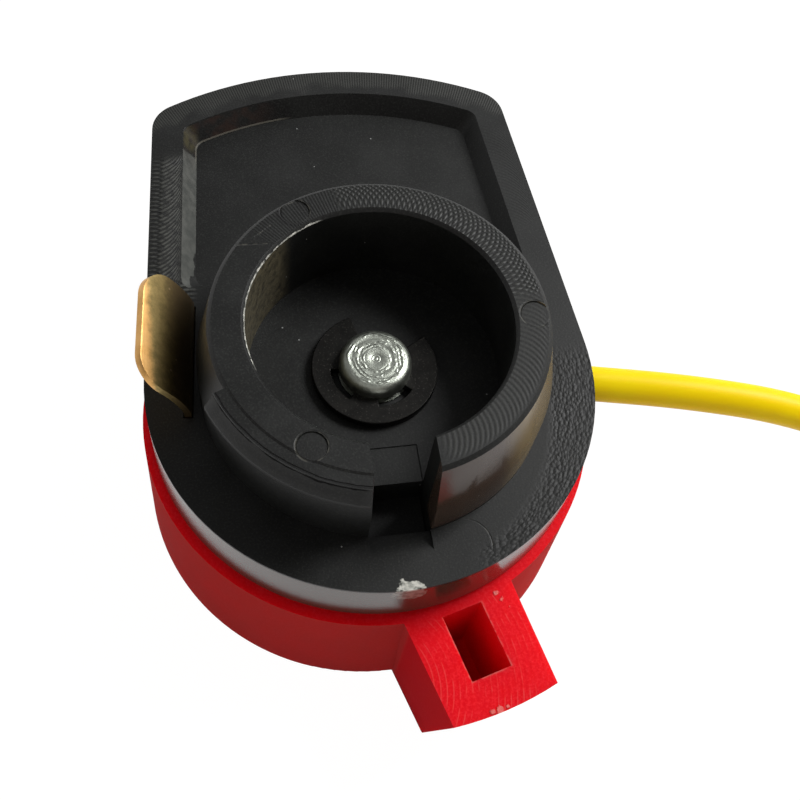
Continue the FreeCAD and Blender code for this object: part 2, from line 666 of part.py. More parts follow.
def make_knob():
    knob = body("rotary_knob")
    drawing = sketch(knob, "knob_profile", "XZ")
    outline(drawing, [
        ("0", "dish_floor", None),
        ("dish_radius - dish_slope", "dish_floor", None),
        ("dish_radius", "knob_front", None),
        ("knob_radius + knob_draft", "knob_front", None),
        ("knob_radius", "knob_rear", None),
        ("chamber_radius", "knob_rear", None),
        ("chamber_radius", "chamber_floor", None),
        ("hub_radius", "chamber_floor", None),
        ("hub_radius", "hub_rear", None),
        ("pin_radius", "hub_rear", None),
        ("pin_radius", "pin_front", None),
        ("0", "pin_front", None),
    ])
    cup = turn_about_axis(knob, "Revolution", "cup", drawing)
    front, outer = value("knob_front"), value("knob_radius + knob_draft")
    rim = edges(cup, lambda e, m: near(m.z, front) and near(math.hypot(m.x, m.y), outer))
    cup = dress(knob, "Fillet", "front_edge_round", cup, rim, "knob_edge")
    floor, wall = value("chamber_floor"), value("chamber_radius")
    corner = edges(cup, lambda e, m: near(m.z, floor) and near(math.hypot(m.x, m.y), wall))
    dress(knob, "Fillet", "chamber_corner", cup, corner, "chamber_round")

    drawing = sketch(knob, "grip_outline", "XY", level="dish_floor")
    reach = "dish_radius + joint_depth"
    bar(drawing, f"0 - ({reach})", reach, "grip_tail / 2", "grip_width / 2", "lever")
    feature(knob, "Pad", "grip_bar", drawing, "dish_depth", down=True)

    sections = []
    for name, level, reach in (("rear", "knob_rear", "lever_reach"), ("front", "knob_front", "lever_front")):
        root = "(chamber_radius + joint_depth)"
        tip = f"sqrt(({reach})^2 - lever_half^2)"
        drawing = sketch(knob, f"lever_{name}_outline", "XY", level=level)
        outline(drawing, [
            (*turned(root, "0 - lever_root", "lever"), None),
            (*turned(tip, "0 - lever_half", "lever"), left_arc(reach)),
            (*turned(tip, "lever_half", "lever"), None),
            (*turned(root, "lever_root", "lever"), None),
        ])
        sections.append(drawing)
    lever = knob.newObject("PartDesign::AdditiveLoft", "lever")
    lever.Profile = sections[0]
    lever.Sections = [sections[1]]
    lever.Ruled = True
    doc.recompute()
    reach = value("(lever_front + knob_radius) / 2")
    names = edges(lever, lambda e, m: near(m.z, front) and math.hypot(m.x, m.y) > reach)
    lever = dress(knob, "Fillet", "lever_front_edge", lever, names, "lever_edge")

    drawing = sketch(knob, "core_outline", "XY", level="knob_rear")
    bar(drawing, "core_near", "core_far", "core_half", "core_half", "lever")
    feature(knob, "Pocket", "coring_pocket", drawing, "core_depth")

    drawing = sketch(knob, "tongue_foot_outline", "XY", level="knob_rear")
    sides = ("lever - tongue_half", "lever + tongue_half")
    inside = "stop_radius - tongue_wall"
    sector(drawing, inside, "chamber_radius + joint_depth", *sides)
    feature(knob, "Pad", "tongue_foot_pad", drawing, "tongue_foot", down=True)
    drawing = sketch(knob, "tongue_outline", "XY", level="knob_rear")
    sector(drawing, inside, "stop_radius", *sides)
    feature(knob, "Pad", "stop_tongue", drawing, "knob_gap + stop_depth")

    boss_place = polar("detent_place", "detent_angle")
    drawing = sketch(knob, "boss_outline", "XY", level="boss_rear")
    circle(drawing, *boss_place, "ball_bore + boss_wall")
    feature(knob, "Pad", "detent_boss", drawing, "boss_rear - chamber_floor", down=True)
    drawing = sketch(knob, "boss_rib_outline", "XY", level="knob_rear")
    half = "boss_rib / 2"
    bar(drawing, "detent_place", "chamber_radius + joint_depth", half, half, "detent_angle")
    feature(knob, "Pad", "boss_rib", drawing, "chamber_depth", down=True)
    drawing = sketch(knob, "detent_bore_outline", "XY", level="boss_rear")
    circle(drawing, *boss_place, "ball_bore")
    feature(knob, "Pocket", "detent_bore", drawing, "detent_bore")

    for number, angle in enumerate(("ground_arm", "line_arm")):
        drawing = sketch(knob, f"key_outline_{number}", "XY", level="hub_rear")
        bar(drawing, "hub_radius - joint_depth", "key_reach", "key_width / 2", "key_width / 2", angle)
        feature(knob, "Pad", f"hub_key_{number}", drawing, "key_length", down=True)
    return knob


def make_pin():
    pin = body("pivot_pin")
    drawing = sketch(pin, "pin_profile", "XZ")
    outline(drawing, [
        ("0", "pin_front", None),
        ("pin_radius", "pin_front", None),
        ("pin_radius", "clip_front", None),
        ("groove_radius", "clip_front", None),
        ("groove_radius", "clip_rear", None),
        ("pin_radius", "clip_rear", None),
        ("pin_radius", "pin_rear - pin_round", left_arc("pin_round")),
        ("pin_radius - pin_round", "pin_rear", None),
        ("pin_dimple", "pin_rear", None),
        ("0", "pin_rear - pin_dimple", None),
    ])
    turn_about_axis(pin, "Revolution", "shank", drawing)
    drawing = sketch(pin, "knurl_outline", "XY", level="pin_front")
    circle(drawing, "pin_radius", "0", "knurl_cut")
    cut = feature(pin, "Pocket", "knurl_groove", drawing, "knurl_length", down=True)
    repeat_round(pin, "knurl", cut, drawing, "knurl_count")
    return pin


def make_clip():
    clip = body("retaining_clip")
    drawing = sketch(clip, "clip_outline", "XY", level="clip_front")
    mouth = "clip_mouth"
    prong = "(clip_mouth + clip_prong)"
    middle = "(180 - clip_heel / 2)"

    def at(radius, angle, side):
        return polar(radius, f"clip_turn + {side} * {angle}")

    grip, ear = "groove_radius", "clip_ear"
    outline(drawing, [
        (*at("clip_radius", mouth, 1), left_arc("clip_radius", large=True)),
        (*at("clip_radius", mouth, -1), None),
        (*at(grip, mouth, -1), right_arc(grip)),
        (*at(grip, prong, -1), None),
        (*at(ear, prong, -1), right_arc(ear)),
        (*at(ear, middle, -1), None),
        (*at(grip, middle, -1), right_arc(grip)),
        (*at(grip, middle, 1), None),
        (*at(ear, middle, 1), right_arc(ear)),
        (*at(ear, prong, 1), None),
        (*at(grip, prong, 1), right_arc(grip)),
        (*at(grip, mouth, 1), None),
    ])
    feature(clip, "Pad", "clip_blank", drawing, "clip_thickness")
    return clip


# Contacts


def make_ground_contact():
    ground = body("ground_contact")
    drawing = sketch(ground, "ground_pad_outline", "XY", level="web_front")
    sector(drawing, "strip_inner", "strip_outer", "ground_arm - strip_end", "tongue_angle + strip_end")
    feature(ground, "Pad", "ground_pad", drawing, "strip_thickness", down=True)

    drawing = sketch(ground, "tongue_profile", "XZ", turn="tongue_angle")
    outside = "slot_radius + strip_thickness"
    foot = "sqrt(strip_outer^2 - (tongue_width / 2 + tongue_side)^2) - joint_depth"
    outline(drawing, [
        (foot, "strip_front", None),
        (outside, "strip_front", None),
        (outside, "tongue_bend - strip_thickness / 4", right_arc("tongue_belly")),
        ("tongue_reach", "tongue_rise - strip_thickness * cos(tongue_slope)", None),
        ("tongue_reach - strip_thickness * sin(tongue_slope)", "tongue_rise",
         left_arc("tongue_belly + strip_thickness")),
        ("slot_radius", "tongue_bend", None),
        ("slot_radius", "web_front", None),
        (foot, "web_front", None),
    ])
    tongue = feature(ground, "Pad", "tongue", drawing, "tongue_width / 2 + tongue_side")
    tongue.SideType = "Two sides"
    tie(tongue, "Length2", "tongue_width / 2 - tongue_side")
    doc.recompute()
    high = value("tongue_rise - strip_thickness")
    thin = value("2 * strip_thickness")
    names = edges(tongue, lambda e, m: m.z > high and e.Length < thin)
    tip = dress(ground, "Fillet", "tongue_corners", tongue, names, "tongue_corner")

    drawing = sketch(ground, "ground_hole_outline", "XY", level="web_front")
    circle(drawing, *polar("strip_middle", "ground_arm + stake_angle"), "stake_radius")
    feature(ground, "Pocket", "ground_stake_hole", drawing, "strip_thickness")
    return ground


def make_line_contact():
    line = body("line_contact")
    drawing = sketch(line, "line_pad_outline", "XY", level="web_front")
    lead_crossing = "lead_angle + asin(lead_side / strip_middle) / 1 deg"
    sector(drawing, "strip_inner", "strip_outer", "line_arm - strip_end", f"{lead_crossing} + strip_end")
    feature(line, "Pad", "line_pad", drawing, "strip_thickness", down=True)
    drawing = sketch(line, "fork_outline", "XY", level="web_front")
    low, high = (f"lead_side {sign} (core_radius + lead_clearance)" for sign in "-+")
    near_end, far_end = "conductor_start - lead_clearance", "strip_outer + strip_width"
    outline(drawing, [
        (*turned(near_end, low, "lead_angle"), None),
        (*turned(far_end, low, "lead_angle"), None),
        (*turned(far_end, high, "lead_angle"), None),
        (*turned(near_end, high, "lead_angle"), None),
    ])
    feature(line, "Pocket", "wire_fork", drawing, "strip_thickness")
    drawing = sketch(line, "line_hole_outline", "XY", level="web_front")
    circle(drawing, *polar("strip_middle", "line_arm + stake_angle"), "stake_radius")
    feature(line, "Pocket", "line_stake_hole", drawing, "strip_thickness")
    return line


def make_bridge():
    bridge = body("contact_bridge")
    drawing = sketch(bridge, "arms_outline", "XY", level="bridge_front")
    bar(drawing, "0 - arm_reach", "arm_reach", "arm_width / 2", "arm_width / 2", "ground_arm")
    feature(bridge, "Pad", "arms", drawing, "bridge_thickness")
    drawing = sketch(bridge, "ring_outline", "XY", level="bridge_front")
    circle(drawing, "0", "0", "bridge_ring")
    feature(bridge, "Pad", "ring", drawing, "bridge_thickness")
    drawing = sketch(bridge, "hub_hole_outline", "XY", level="bridge_rear")
    circle(drawing, "0", "0", "hub_radius + bridge_clearance")
    feature(bridge, "Pocket", "hub_hole", drawing, "bridge_thickness")
    drawing = sketch(bridge, "keyway_outline", "XY", level="bridge_rear")
    half = "key_width / 2 + bridge_clearance"
    far = "key_reach + bridge_clearance"
    bar(drawing, f"0 - ({far})", far, half, half, "ground_arm")
    feature(bridge, "Pocket", "keyways", drawing, "bridge_thickness")
    names = edges(bridge.Tip, lambda e, m: upright(e) and math.hypot(m.x, m.y) > value("bridge_ring") + 1)
    dress(bridge, "Fillet", "arm_corners", bridge.Tip, names, "arm_width / 4")
    return bridge


def make_contact_tips():
    """Two domed rivet heads, one on each arm of the bridge."""
    domes = []
    for number, angle in enumerate(("ground_arm", "line_arm")):
        dome = doc.addObject("Part::Sphere", f"tip_dome_{number}")
        across, up = polar("strip_middle", angle)
        # The cap of a sphere that is as wide and as high as the tip
        sphere = "(tip_radius^2 + tip_height^2) / (2 * tip_height)"
        tie(dome, "Radius", sphere)
        tie(dome, "Placement.Base.x", across)
        tie(dome, "Placement.Base.y", up)
        tie(dome, "Placement.Base.z", f"bridge_rear + tip_height - {sphere}")
        domes.append(dome)
    pair = doc.addObject("Part::Compound", "tip_domes")
    pair.Links = domes
    slab = doc.addObject("Part::Box", "tip_slab")
    tie(slab, "Length", "4 * arm_reach")
    tie(slab, "Width", "4 * arm_reach")
    tie(slab, "Height", "2 * tip_height")
    tie(slab, "Placement.Base.x", "0 - 2 * arm_reach")
    tie(slab, "Placement.Base.y", "0 - 2 * arm_reach")
    tie(slab, "Placement.Base.z", "bridge_rear")
    tips = doc.addObject("Part::Common", "bridge_contact_tips")
    tips.Base = pair
    tips.Tool = slab
    tips.Label = "bridge_contact_tips"
    doc.recompute()
    return tips


def make_spring(name, mean, wire, low, high, turns, centre=("0", "0")):
    """An open coil of round wire that stands on low and reaches up to high."""
    coil = doc.addObject("Part::Helix", name + "_path")
    tie(coil, "Radius", mean)
    tie(coil, "Height", f"({high}) - ({low}) - {wire}")
    tie(coil, "Pitch", f"(({high}) - ({low}) - {wire}) / ({turns})")
    tie(coil, "Placement.Base.x", centre[0])
    tie(coil, "Placement.Base.y", centre[1])
    tie(coil, "Placement.Base.z", f"({low}) + {wire} / 2")
    coil.SegmentLength = 1
    section = doc.addObject("Part::Circle", name + "_section")
    section.Placement = FreeCAD.Placement(V(), FreeCAD.Rotation(V(1, 0, 0), 90))
    tie(section, "Radius", f"{wire} / 2")
    tie(section, "Placement.Base.x", f"({centre[0]}) + ({mean})")
    tie(section, "Placement.Base.y", centre[1])
    tie(section, "Placement.Base.z", f"({low}) + {wire} / 2")
    doc.recompute()
    spring = doc.addObject("Part::Sweep", name)
    spring.Sections = [section]
    spring.Spine = (coil, [f"Edge{n}" for n in range(1, len(coil.Shape.Edges) + 1)])
    spring.Solid = True
    spring.Frenet = True
    spring.Label = name
    doc.recompute()
    return spring


def make_ball():
    ball = doc.addObject("Part::Sphere", "detent_ball")
    across, up = polar("detent_place", "detent_angle")
    tie(ball, "Radius", "ball_radius")
    tie(ball, "Placement.Base.x", across)
    tie(ball, "Placement.Base.y", up)
    tie(ball, "Placement.Base.z", "ball_level")
    ball.Label = "detent_ball"
    return ball


def make_conductor():
    strands = doc.addObject("Part::Cylinder", "conductor_strands")
    tie(strands, "Radius", "core_radius")
    tie(strands, "Height", "lead_start - conductor_start")
    lay_along_lead(strands, "conductor_start")
    strands.Label = "conductor_strands"
    return strands


def make_solder():
    solder = body("solder_joint")
    along = "lead_start - lead_clearance - solder_radius"
    drawing = sketch(solder, "solder_outline", "XY", level="strip_front")
    circle(drawing, *turned(along, "lead_side", "lead_angle"), "solder_radius")
    blob = feature(solder, "Pad", "blob", drawing, "solder_height", down=True)
    low = value("strip_front - solder_height")
    names = edges(blob, lambda e, m: near(m.z, low))
    dress(solder, "Fillet", "blob_round", blob, names, "solder_height * 0.8")
    return solder


# Lead

# The lead's route outside the base, then the tail after its coil, chosen by hand
LEAD_POINTS = [
    (25.0, -2.27, -3.1),
    (33.5, -4.3, -3.7),
    (41.5, -6.6, -6.6),
    (49.0, -8.6, -11.0),
    (56.5, -10.2, -14.6),
    (64.0, -10.8, -15.85),
]
TAIL_POINTS = [
    (69.5, -9.6, -13.1),
    (78.2, -9.4, -13.3),
    (84.8, -4.6, -15.6),
    (87.0, 3.8, -15.85),
    (87.0, 13.0, -15.6),
    (84.0, 21.6, -14.65),
    (78.6, 29.0, -14.65),
]
COIL_CENTRE = (66.0, 6.1)


def tube(points, radius):
    """A round tube along straight runs joined by tangent arcs; prints the arcs' radii."""
    points = [V(*p) for p in points]
    pieces, here, radii = [], points[0], []
    for before, corner, after in zip(points, points[1:], points[2:]):
        back, ahead = before - corner, after - corner
        turn = math.pi - back.getAngle(ahead)
        cut = 0.45 * min(back.Length, ahead.Length)
        radii.append(cut / math.tan(turn / 2))
        start = corner + back.normalize() * cut
        end = corner + ahead.normalize() * cut
        bisector = (back + ahead).normalize()
        reach = radii[-1] / math.cos(turn / 2)
        middle = corner + bisector * (reach - radii[-1])
        pieces += [Part.LineSegment(here, start).toShape(), Part.Arc(start, middle, end).toShape()]
        here = end
    pieces.append(Part.LineSegment(here, points[-1]).toShape())
    path = Part.Wire(pieces)
    ring = Part.Wire(Part.Circle(points[0], points[1] - points[0], radius).toShape())
    solid = path.makePipeShell([ring], True, True)
    print("tube", round(path.Length, 1), "mm, arcs", [round(r, 1) for r in radii],
          "volume ratio", round(solid.Volume / (math.pi * radius**2 * path.Length), 4))
    return solid


def make_lead():
    start = lead_place("lead_start")
    exit_place = lead_place("plate_radius")
    lead = doc.addObject("Part::Feature", "lead_wire")
    lead.Shape = tube([start, exit_place] + LEAD_POINTS, value("lead_radius"))
    lead.Label = "lead_wire"
    tail = doc.addObject("Part::Feature", "lead_tail")
    tail.Shape = tube(TAIL_POINTS, value("lead_radius"))
    tail.Label = "lead_tail"
    return lead, tail


def make_coil():
    """The outer form of the coiled lead: two turns side by side with more on top."""
    coil = body("lead_coil")
    drawing = sketch(coil, "coil_profile", "XZ")
    coil_top = "knob_front + (2 + sqrt(3)) * lead_radius"
    coil.Placement = FreeCAD.Placement(V(*COIL_CENTRE, 0), FreeCAD.Rotation())
    outline(drawing, [
        ("coil_radius - 2 * lead_radius", "knob_front", None),
        ("coil_radius + 2 * lead_radius", "knob_front", None),
        ("coil_radius + 2 * lead_radius", "knob_front + 2 * lead_radius", None),
        ("coil_radius + lead_radius", coil_top, None),
        ("coil_radius - lead_radius", coil_top, None),
        ("coil_radius - 2 * lead_radius", "knob_front + 2 * lead_radius", None),
    ])
    turn_about_axis(coil, "Revolution", "turns", drawing)
    return coil


def tail_placement():
    """Where the tail ends, with +Z along its last run."""
    last, before = V(*TAIL_POINTS[-1]), V(*TAIL_POINTS[-2])
    return FreeCAD.Placement(last, FreeCAD.Rotation(V(0, 0, 1), V(last.x - before.x, last.y - before.y, 0)))


def make_terminal():
    terminal = body("bullet_terminal")
    drawing = sketch(terminal, "terminal_profile", "XZ")
    nose = "(barrel_length + bullet_length - nose_length)"
    waist = f"({nose} - waist_width)"
    outline(drawing, [
        ("0", "0", None),
        ("barrel_radius", "0", None),
        ("barrel_radius", "barrel_length - neck_length", None),
        ("neck_radius", "barrel_length - neck_length + neck_slope_length", None),
        ("terminal_radius", "barrel_length", None),
        ("terminal_radius", waist, None),
        ("waist_radius", f"{waist} + waist_slope_width", None),
        ("waist_radius", f"{nose} - waist_slope_width", None),
        ("terminal_radius", nose, left_arc("nose_radius")),
        ("nose_flat", f"{nose} + nose_length", None),
        ("0", f"{nose} + nose_length", None),
    ])
    turn_about_axis(terminal, "Revolution", "turned_bullet", drawing)
    terminal.Placement = tail_placement()

    sleeve = body("terminal_sleeve")
    drawing = sketch(sleeve, "sleeve_profile", "XZ")
    sleeve_end = "(barrel_length - neck_length)"
    low = f"{sleeve_end} - sleeve_length"
    outline(drawing, [
        ("lead_radius", low, None),
        ("lead_radius + sleeve_wall", low, None),
        ("barrel_radius + sleeve_wall", "0 - sleeve_taper_length", None),
        ("barrel_radius + sleeve_wall", sleeve_end, None),
        ("barrel_radius", sleeve_end, None),
        ("barrel_radius", "0", None),
        ("lead_radius", "0", None),
    ])
    turn_about_axis(sleeve, "Revolution", "sleeve_tube", drawing)
    sleeve.Placement = tail_placement()
    return terminal, sleeve


PIECES = [
    make_base_housing(),
    make_knob(),
    make_pin(),
    make_clip(),
    make_ground_contact(),
    make_line_contact(),
    make_bridge(),
    make_contact_tips(),
    make_spring("contact_spring", "spring_radius", "spring_wire", "chamber_floor", "bridge_front", "spring_turns"),
    make_ball(),
    make_spring("detent_spring", "detent_coil", "detent_wire", "boss_rear - detent_bore",
                "ball_level - ball_seat - ball_clearance", "detent_turns", polar("detent_place", "detent_angle")),
    make_conductor(),
    make_solder(),
    *make_lead(),
    make_coil(),
    *make_terminal(),
]

doc.recompute()
for thing in doc.Objects:
    if {"Invalid", "Error"} & set(thing.State):
        raise RuntimeError(f"{thing.Name} failed: {thing.State}")
os.makedirs("parts", exist_ok=True)
for piece in PIECES:
    if piece.Shape.isNull() or not piece.Shape.isValid():
        raise RuntimeError(f"{piece.Label} has no valid shape")
    piece.Shape.exportStep(f"parts/{piece.Label}.step")
    print(piece.Label, len(piece.Shape.Solids), round(piece.Shape.Volume, 2))
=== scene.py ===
"""Looks of the engine stop switch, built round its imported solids.

Metres in the frame of the solids: the origin lies on the knob's pivot at the base's rear seat face, +Z points
out of the rear through the panel collar and +Y to the top of the shield. Sizes written here are millimetres,
which MM turns to metres.
"""
import json
from math import cos, pi, radians, sin, sqrt

import bpy
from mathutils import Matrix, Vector

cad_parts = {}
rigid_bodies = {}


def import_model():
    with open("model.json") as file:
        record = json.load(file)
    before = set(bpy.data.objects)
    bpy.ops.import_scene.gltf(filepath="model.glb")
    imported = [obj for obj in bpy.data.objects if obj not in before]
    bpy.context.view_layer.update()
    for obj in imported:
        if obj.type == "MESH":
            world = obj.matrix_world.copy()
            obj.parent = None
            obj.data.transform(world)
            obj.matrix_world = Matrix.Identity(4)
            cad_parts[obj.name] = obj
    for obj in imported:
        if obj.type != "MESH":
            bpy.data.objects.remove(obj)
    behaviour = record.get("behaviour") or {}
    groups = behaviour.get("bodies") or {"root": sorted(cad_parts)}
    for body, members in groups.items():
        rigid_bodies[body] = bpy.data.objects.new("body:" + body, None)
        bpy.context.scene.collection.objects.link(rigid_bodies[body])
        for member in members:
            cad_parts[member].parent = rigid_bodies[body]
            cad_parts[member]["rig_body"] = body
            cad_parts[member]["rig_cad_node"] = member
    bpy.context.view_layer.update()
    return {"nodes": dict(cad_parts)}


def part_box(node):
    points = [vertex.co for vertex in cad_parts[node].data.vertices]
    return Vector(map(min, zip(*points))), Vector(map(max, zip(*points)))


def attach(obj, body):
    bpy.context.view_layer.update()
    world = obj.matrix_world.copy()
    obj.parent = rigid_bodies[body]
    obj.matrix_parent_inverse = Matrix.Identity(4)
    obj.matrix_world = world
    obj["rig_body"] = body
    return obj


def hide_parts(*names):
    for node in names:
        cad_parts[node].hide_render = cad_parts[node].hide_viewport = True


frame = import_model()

MM = 0.001
NODES = frame["nodes"]

# Levels of the solids in millimetres, read from the frame where a piece gives them
BASE_LOW, BASE_HIGH = (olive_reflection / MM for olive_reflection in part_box("base_housing"))
PIN_LOW, PIN_HIGH = (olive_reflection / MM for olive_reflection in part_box("pivot_pin"))
CLIP_LOW, CLIP_HIGH = (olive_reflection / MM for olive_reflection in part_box("retaining_clip"))
COLLAR_TOP = BASE_HIGH.z
PLATE_FRONT = BASE_LOW.z
KNOB_FRONT = (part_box("rotary_knob")[0] / MM).z
LEVER_REAR = -5.5
FLOOR = KNOB_FRONT
BORE_FLOOR = 0.5
# The lever's lean from the -Y axis, in degrees
LEVER_TURN = 14.75
# Blisters and patches on the lever, whose pale colour is a painted highlight: x, y and size in millimetres
BLISTER_SPOTS = [
    (7.15, -15.95, 0.3), (7.5, -16.5, 0.22), (7.9, -17.1, 0.12), (8.05, -17.9, 0.1),
    (5.3, -24.35, 0.3), (5.85, -24.3, 0.4), (6.4, -24.1, 0.22), (9.2, -21.6, 0.1),
]
# Marks of three of the mould's pins on the collar, and their distance from the pivot in millimetres
MARK_REACH = 10.75
EJECTOR_MARKS = [
    (MARK_REACH * cos(radians(turn)), MARK_REACH * sin(radians(turn))) for turn in (-3, 117, 237)
]
# The photograph's camera, fitted to the circles in it: place and lens in millimetres, turn in degrees
CAMERA_PLACE = (-10.974, -39.252, 71.104)
CAMERA_TURN = (28.317, -5.432, -8.872)
CAMERA_LENS = 49.574


# Small tools


def pick(piece):
    """Makes a piece the only selected object and the active one."""
    bpy.ops.object.select_all(action="DESELECT")
    piece.select_set(True)
    bpy.context.view_layer.objects.active = piece


def edit_all(piece):
    """Opens a piece in edit mode with everything selected."""
    pick(piece)
    bpy.ops.object.mode_set(mode="EDIT")
    bpy.ops.mesh.select_all(action="SELECT")


def close_edit():
    bpy.ops.object.mode_set(mode="OBJECT")


def apply_place(piece):
    """Moves a piece's place and turn into its mesh."""
    pick(piece)
    bpy.ops.object.transform_apply(location=True, rotation=True, scale=True)


def apply_modifier(piece, kind, **settings):
    pick(piece)
    bpy.ops.object.modifier_add(type=kind)
    modifier = piece.modifiers[-1]
    for name, setting in settings.items():
        setattr(modifier, name, setting)
    bpy.ops.object.modifier_apply(modifier=modifier.name)


def smooth(piece, degrees=35):
    """Smooth shading that leaves the large flat faces flat."""
    pick(piece)
    bpy.ops.object.shade_smooth_by_angle(angle=radians(degrees))
    apply_modifier(piece, "WEIGHTED_NORMAL", mode="FACE_AREA", weight=50, keep_sharp=True)


def dress(piece, name, body, material):
    """Names a finished piece, gives it its finish and lets it ride on its body."""
    piece.name = name
    piece.data.name = name
    piece.data.materials.clear()
    piece.data.materials.append(material)
    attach(piece, body)
    return piece


def refined_copy(node, edge, segments=2):
    """A solid's own shape with its flat triangles joined and its sharp edges rounded by edge millimetres."""
    pick(NODES[node])
    bpy.ops.object.duplicate()
    piece = bpy.context.object
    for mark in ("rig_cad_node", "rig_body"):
        del piece[mark]
    piece.parent = None
    edit_all(piece)
    bpy.ops.mesh.remove_doubles(threshold=0.002 * MM)
    bpy.ops.mesh.dissolve_limited(angle_limit=radians(0.3))
    close_edit()
    apply_modifier(
        piece, "BEVEL", width=edge * MM, segments=segments, limit_method="ANGLE",
        angle_limit=radians(28), use_clamp_overlap=True, harden_normals=False,
    )
    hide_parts(node)
    return piece


def turned_piece(steps, sides=96):
    """A turned solid: a round face pulled along Z through (radius, level) steps in millimetres."""
    radius, level = steps[0]
    bpy.ops.object.select_all(action="DESELECT")
    bpy.ops.mesh.primitive_circle_add(
        vertices=sides, radius=radius * MM, fill_type="NGON", location=(0, 0, level * MM),
    )
    piece = bpy.context.object
    apply_place(piece)
    edit_all(piece)
    for wider, higher in steps[1:]:
        bpy.ops.mesh.extrude_region_move(TRANSFORM_OT_translate={"value": (0, 0, (higher - level) * MM)})
        scale = wider / radius
        bpy.ops.transform.resize(value=(scale, scale, 1), center_override=(0, 0, higher * MM))
        radius, level = wider, higher
    bpy.ops.mesh.select_all(action="SELECT")
    bpy.ops.mesh.normals_make_consistent(inside=False)
    close_edit()
    return piece


# Camera, floor and light


def add_camera():
    """The photograph's viewing angle, from behind and above the switch's lower end."""
    lens = bpy.data.cameras.new("photo_camera")
    lens.sensor_width = 36
    lens.lens = CAMERA_LENS
    lens.clip_start = 1 * MM
    camera = bpy.data.objects.new("photo_camera", lens)
    camera.location = [axis * MM for axis in CAMERA_PLACE]
    camera.rotation_euler = [radians(turn) for turn in CAMERA_TURN]
    bpy.context.scene.collection.objects.link(camera)
    bpy.context.scene.camera = camera
    bpy.context.scene.view_settings.view_transform = "Standard"


def add_floor():
    bpy.ops.object.select_all(action="DESELECT")
    bpy.ops.mesh.primitive_plane_add(size=3, location=(0, 0, FLOOR * MM))
    floor = bpy.context.object
    floor.name = "studio_floor"
    floor.data.materials.append(white_paper())


def add_light(name, azimuth, elevation, size, watts, colour=(1, 1, 1)):
    """A soft square lamp half a metre from the switch; azimuth 0 is on the +X side, 90 on the +Y side."""
    away = 0.5
    flat = away * cos(radians(elevation))
    place = (flat * cos(radians(azimuth)), flat * sin(radians(azimuth)), away * sin(radians(elevation)))
    lamp = bpy.data.lights.new(name, "AREA")
    lamp.size = size
    lamp.energy = watts
    lamp.color = colour
    light = bpy.data.objects.new(name, lamp)
    light.location = place
    light.rotation_euler = (Vector((0, 0, 0)) - Vector(place)).to_track_quat("-Z", "Y").to_euler()
    bpy.context.scene.collection.objects.link(light)


def add_world():
    """White ahead and low all round, dim and warm high behind the camera; all of it lights the switch."""
    world = bpy.data.worlds.new("studio")
    bpy.context.scene.world = world
    world.use_nodes = True
    tree = world.node_tree
    tree.nodes.clear()
    coordinates = node(tree, "TexCoord")
    _, ahead, high = node(tree, "SeparateXYZ", {0: coordinates.outputs["Generated"]}).outputs
    side = math_node(tree, "MAXIMUM", step(tree, ahead, -0.75, 0.55), outside(tree, high, 0.1, 0.35))
    colour = blend_colours(tree, side, "#705a4e", "#ffffff")
    strength = node(
        tree, "MapRange", {"Value": high, "From Min": 0.15, "From Max": 0.9, "To Min": 1.0, "To Max": 0.16},
    ).outputs[0]
    sky = node(tree, "Background", {"Color": colour, "Strength": strength})
    node(tree, "OutputWorld", {"Surface": sky.outputs[0]})


# Materials


def linear(colour):
    """An sRGB hex colour as linear numbers."""
    parts = [int(colour[k:k + 2], 16) / 255 for k in (1, 3, 5)]
    return (*[c / 12.92 if c <= 0.04045 else ((c + 0.055) / 1.055) ** 2.4 for c in parts], 1.0)


def node(tree, kind, inputs=None, **settings):
    """Adds a node; each input gets a number, a colour or another node's socket."""
    made = tree.nodes.new("ShaderNode" + kind)
    for name, setting in settings.items():
        setattr(made, name, setting)
    for name, source in (inputs or {}).items():
        if isinstance(source, bpy.types.NodeSocket):
            tree.links.new(source, made.inputs[name])
        else:
            made.inputs[name].default_value = source
    return made


def start_material(name, colour, **numbers):
    """A material with its shader's plain numbers set; gives it back with its tree and shader."""
    material = bpy.data.materials.new(name)
    material.use_nodes = True
    tree = material.node_tree
    shader = tree.nodes["Principled BSDF"]
    shader.inputs["Base Color"].default_value = linear(colour)
    for socket, number in numbers.items():
        shader.inputs[socket.replace("_", " ")].default_value = number
    return material, tree, shader


def place_in_mm(tree):
    coordinates = node(tree, "TexCoord")
    return node(
        tree, "VectorMath", {0: coordinates.outputs["Object"], "Scale": 1 / MM}, operation="SCALE",
    ).outputs[0]


def wave(tree, place, period, **settings):
    """Even ridges with a period in millimetres, from 0 to 1."""
    return node(tree, "TexWave", {"Vector": place, "Scale": pi / (10 * period)}, **settings).outputs["Fac"]


def noise(tree, place, size, **inputs):
    """Soft blotches about size millimetres wide, from 0 to 1."""
    return node(tree, "TexNoise", {"Vector": place, "Scale": 1 / size, **inputs}).outputs["Fac"]


def math_node(tree, operation, *values):
    return node(tree, "Math", dict(enumerate(values)), operation=operation).outputs[0]


def product(tree, first, *others):
    for other in others:
        first = math_node(tree, "MULTIPLY", first, other)
    return first


def total(tree, first, *others):
    for other in others:
        first = math_node(tree, "ADD", first, other)
    return first


def blend_colours(tree, share, low, high):
    """A mix of two colours, each an sRGB hex or a socket."""
    low, high = (linear(c) if isinstance(c, str) else c for c in (low, high))
    return node(tree, "Mix", {0: share, 6: low, 7: high}, data_type="RGBA").outputs[2]


def step(tree, number, low, high):
    """0 below low, 1 above high, smooth between."""
    ends = {"Value": number, "From Min": low, "From Max": high}
    return node(tree, "MapRange", ends, interpolation_type="SMOOTHSTEP").outputs[0]


def outside(tree, number, low, high):
    """1 below low, 0 above high, smooth between."""
    return math_node(tree, "SUBTRACT", 1.0, step(tree, number, low, high))


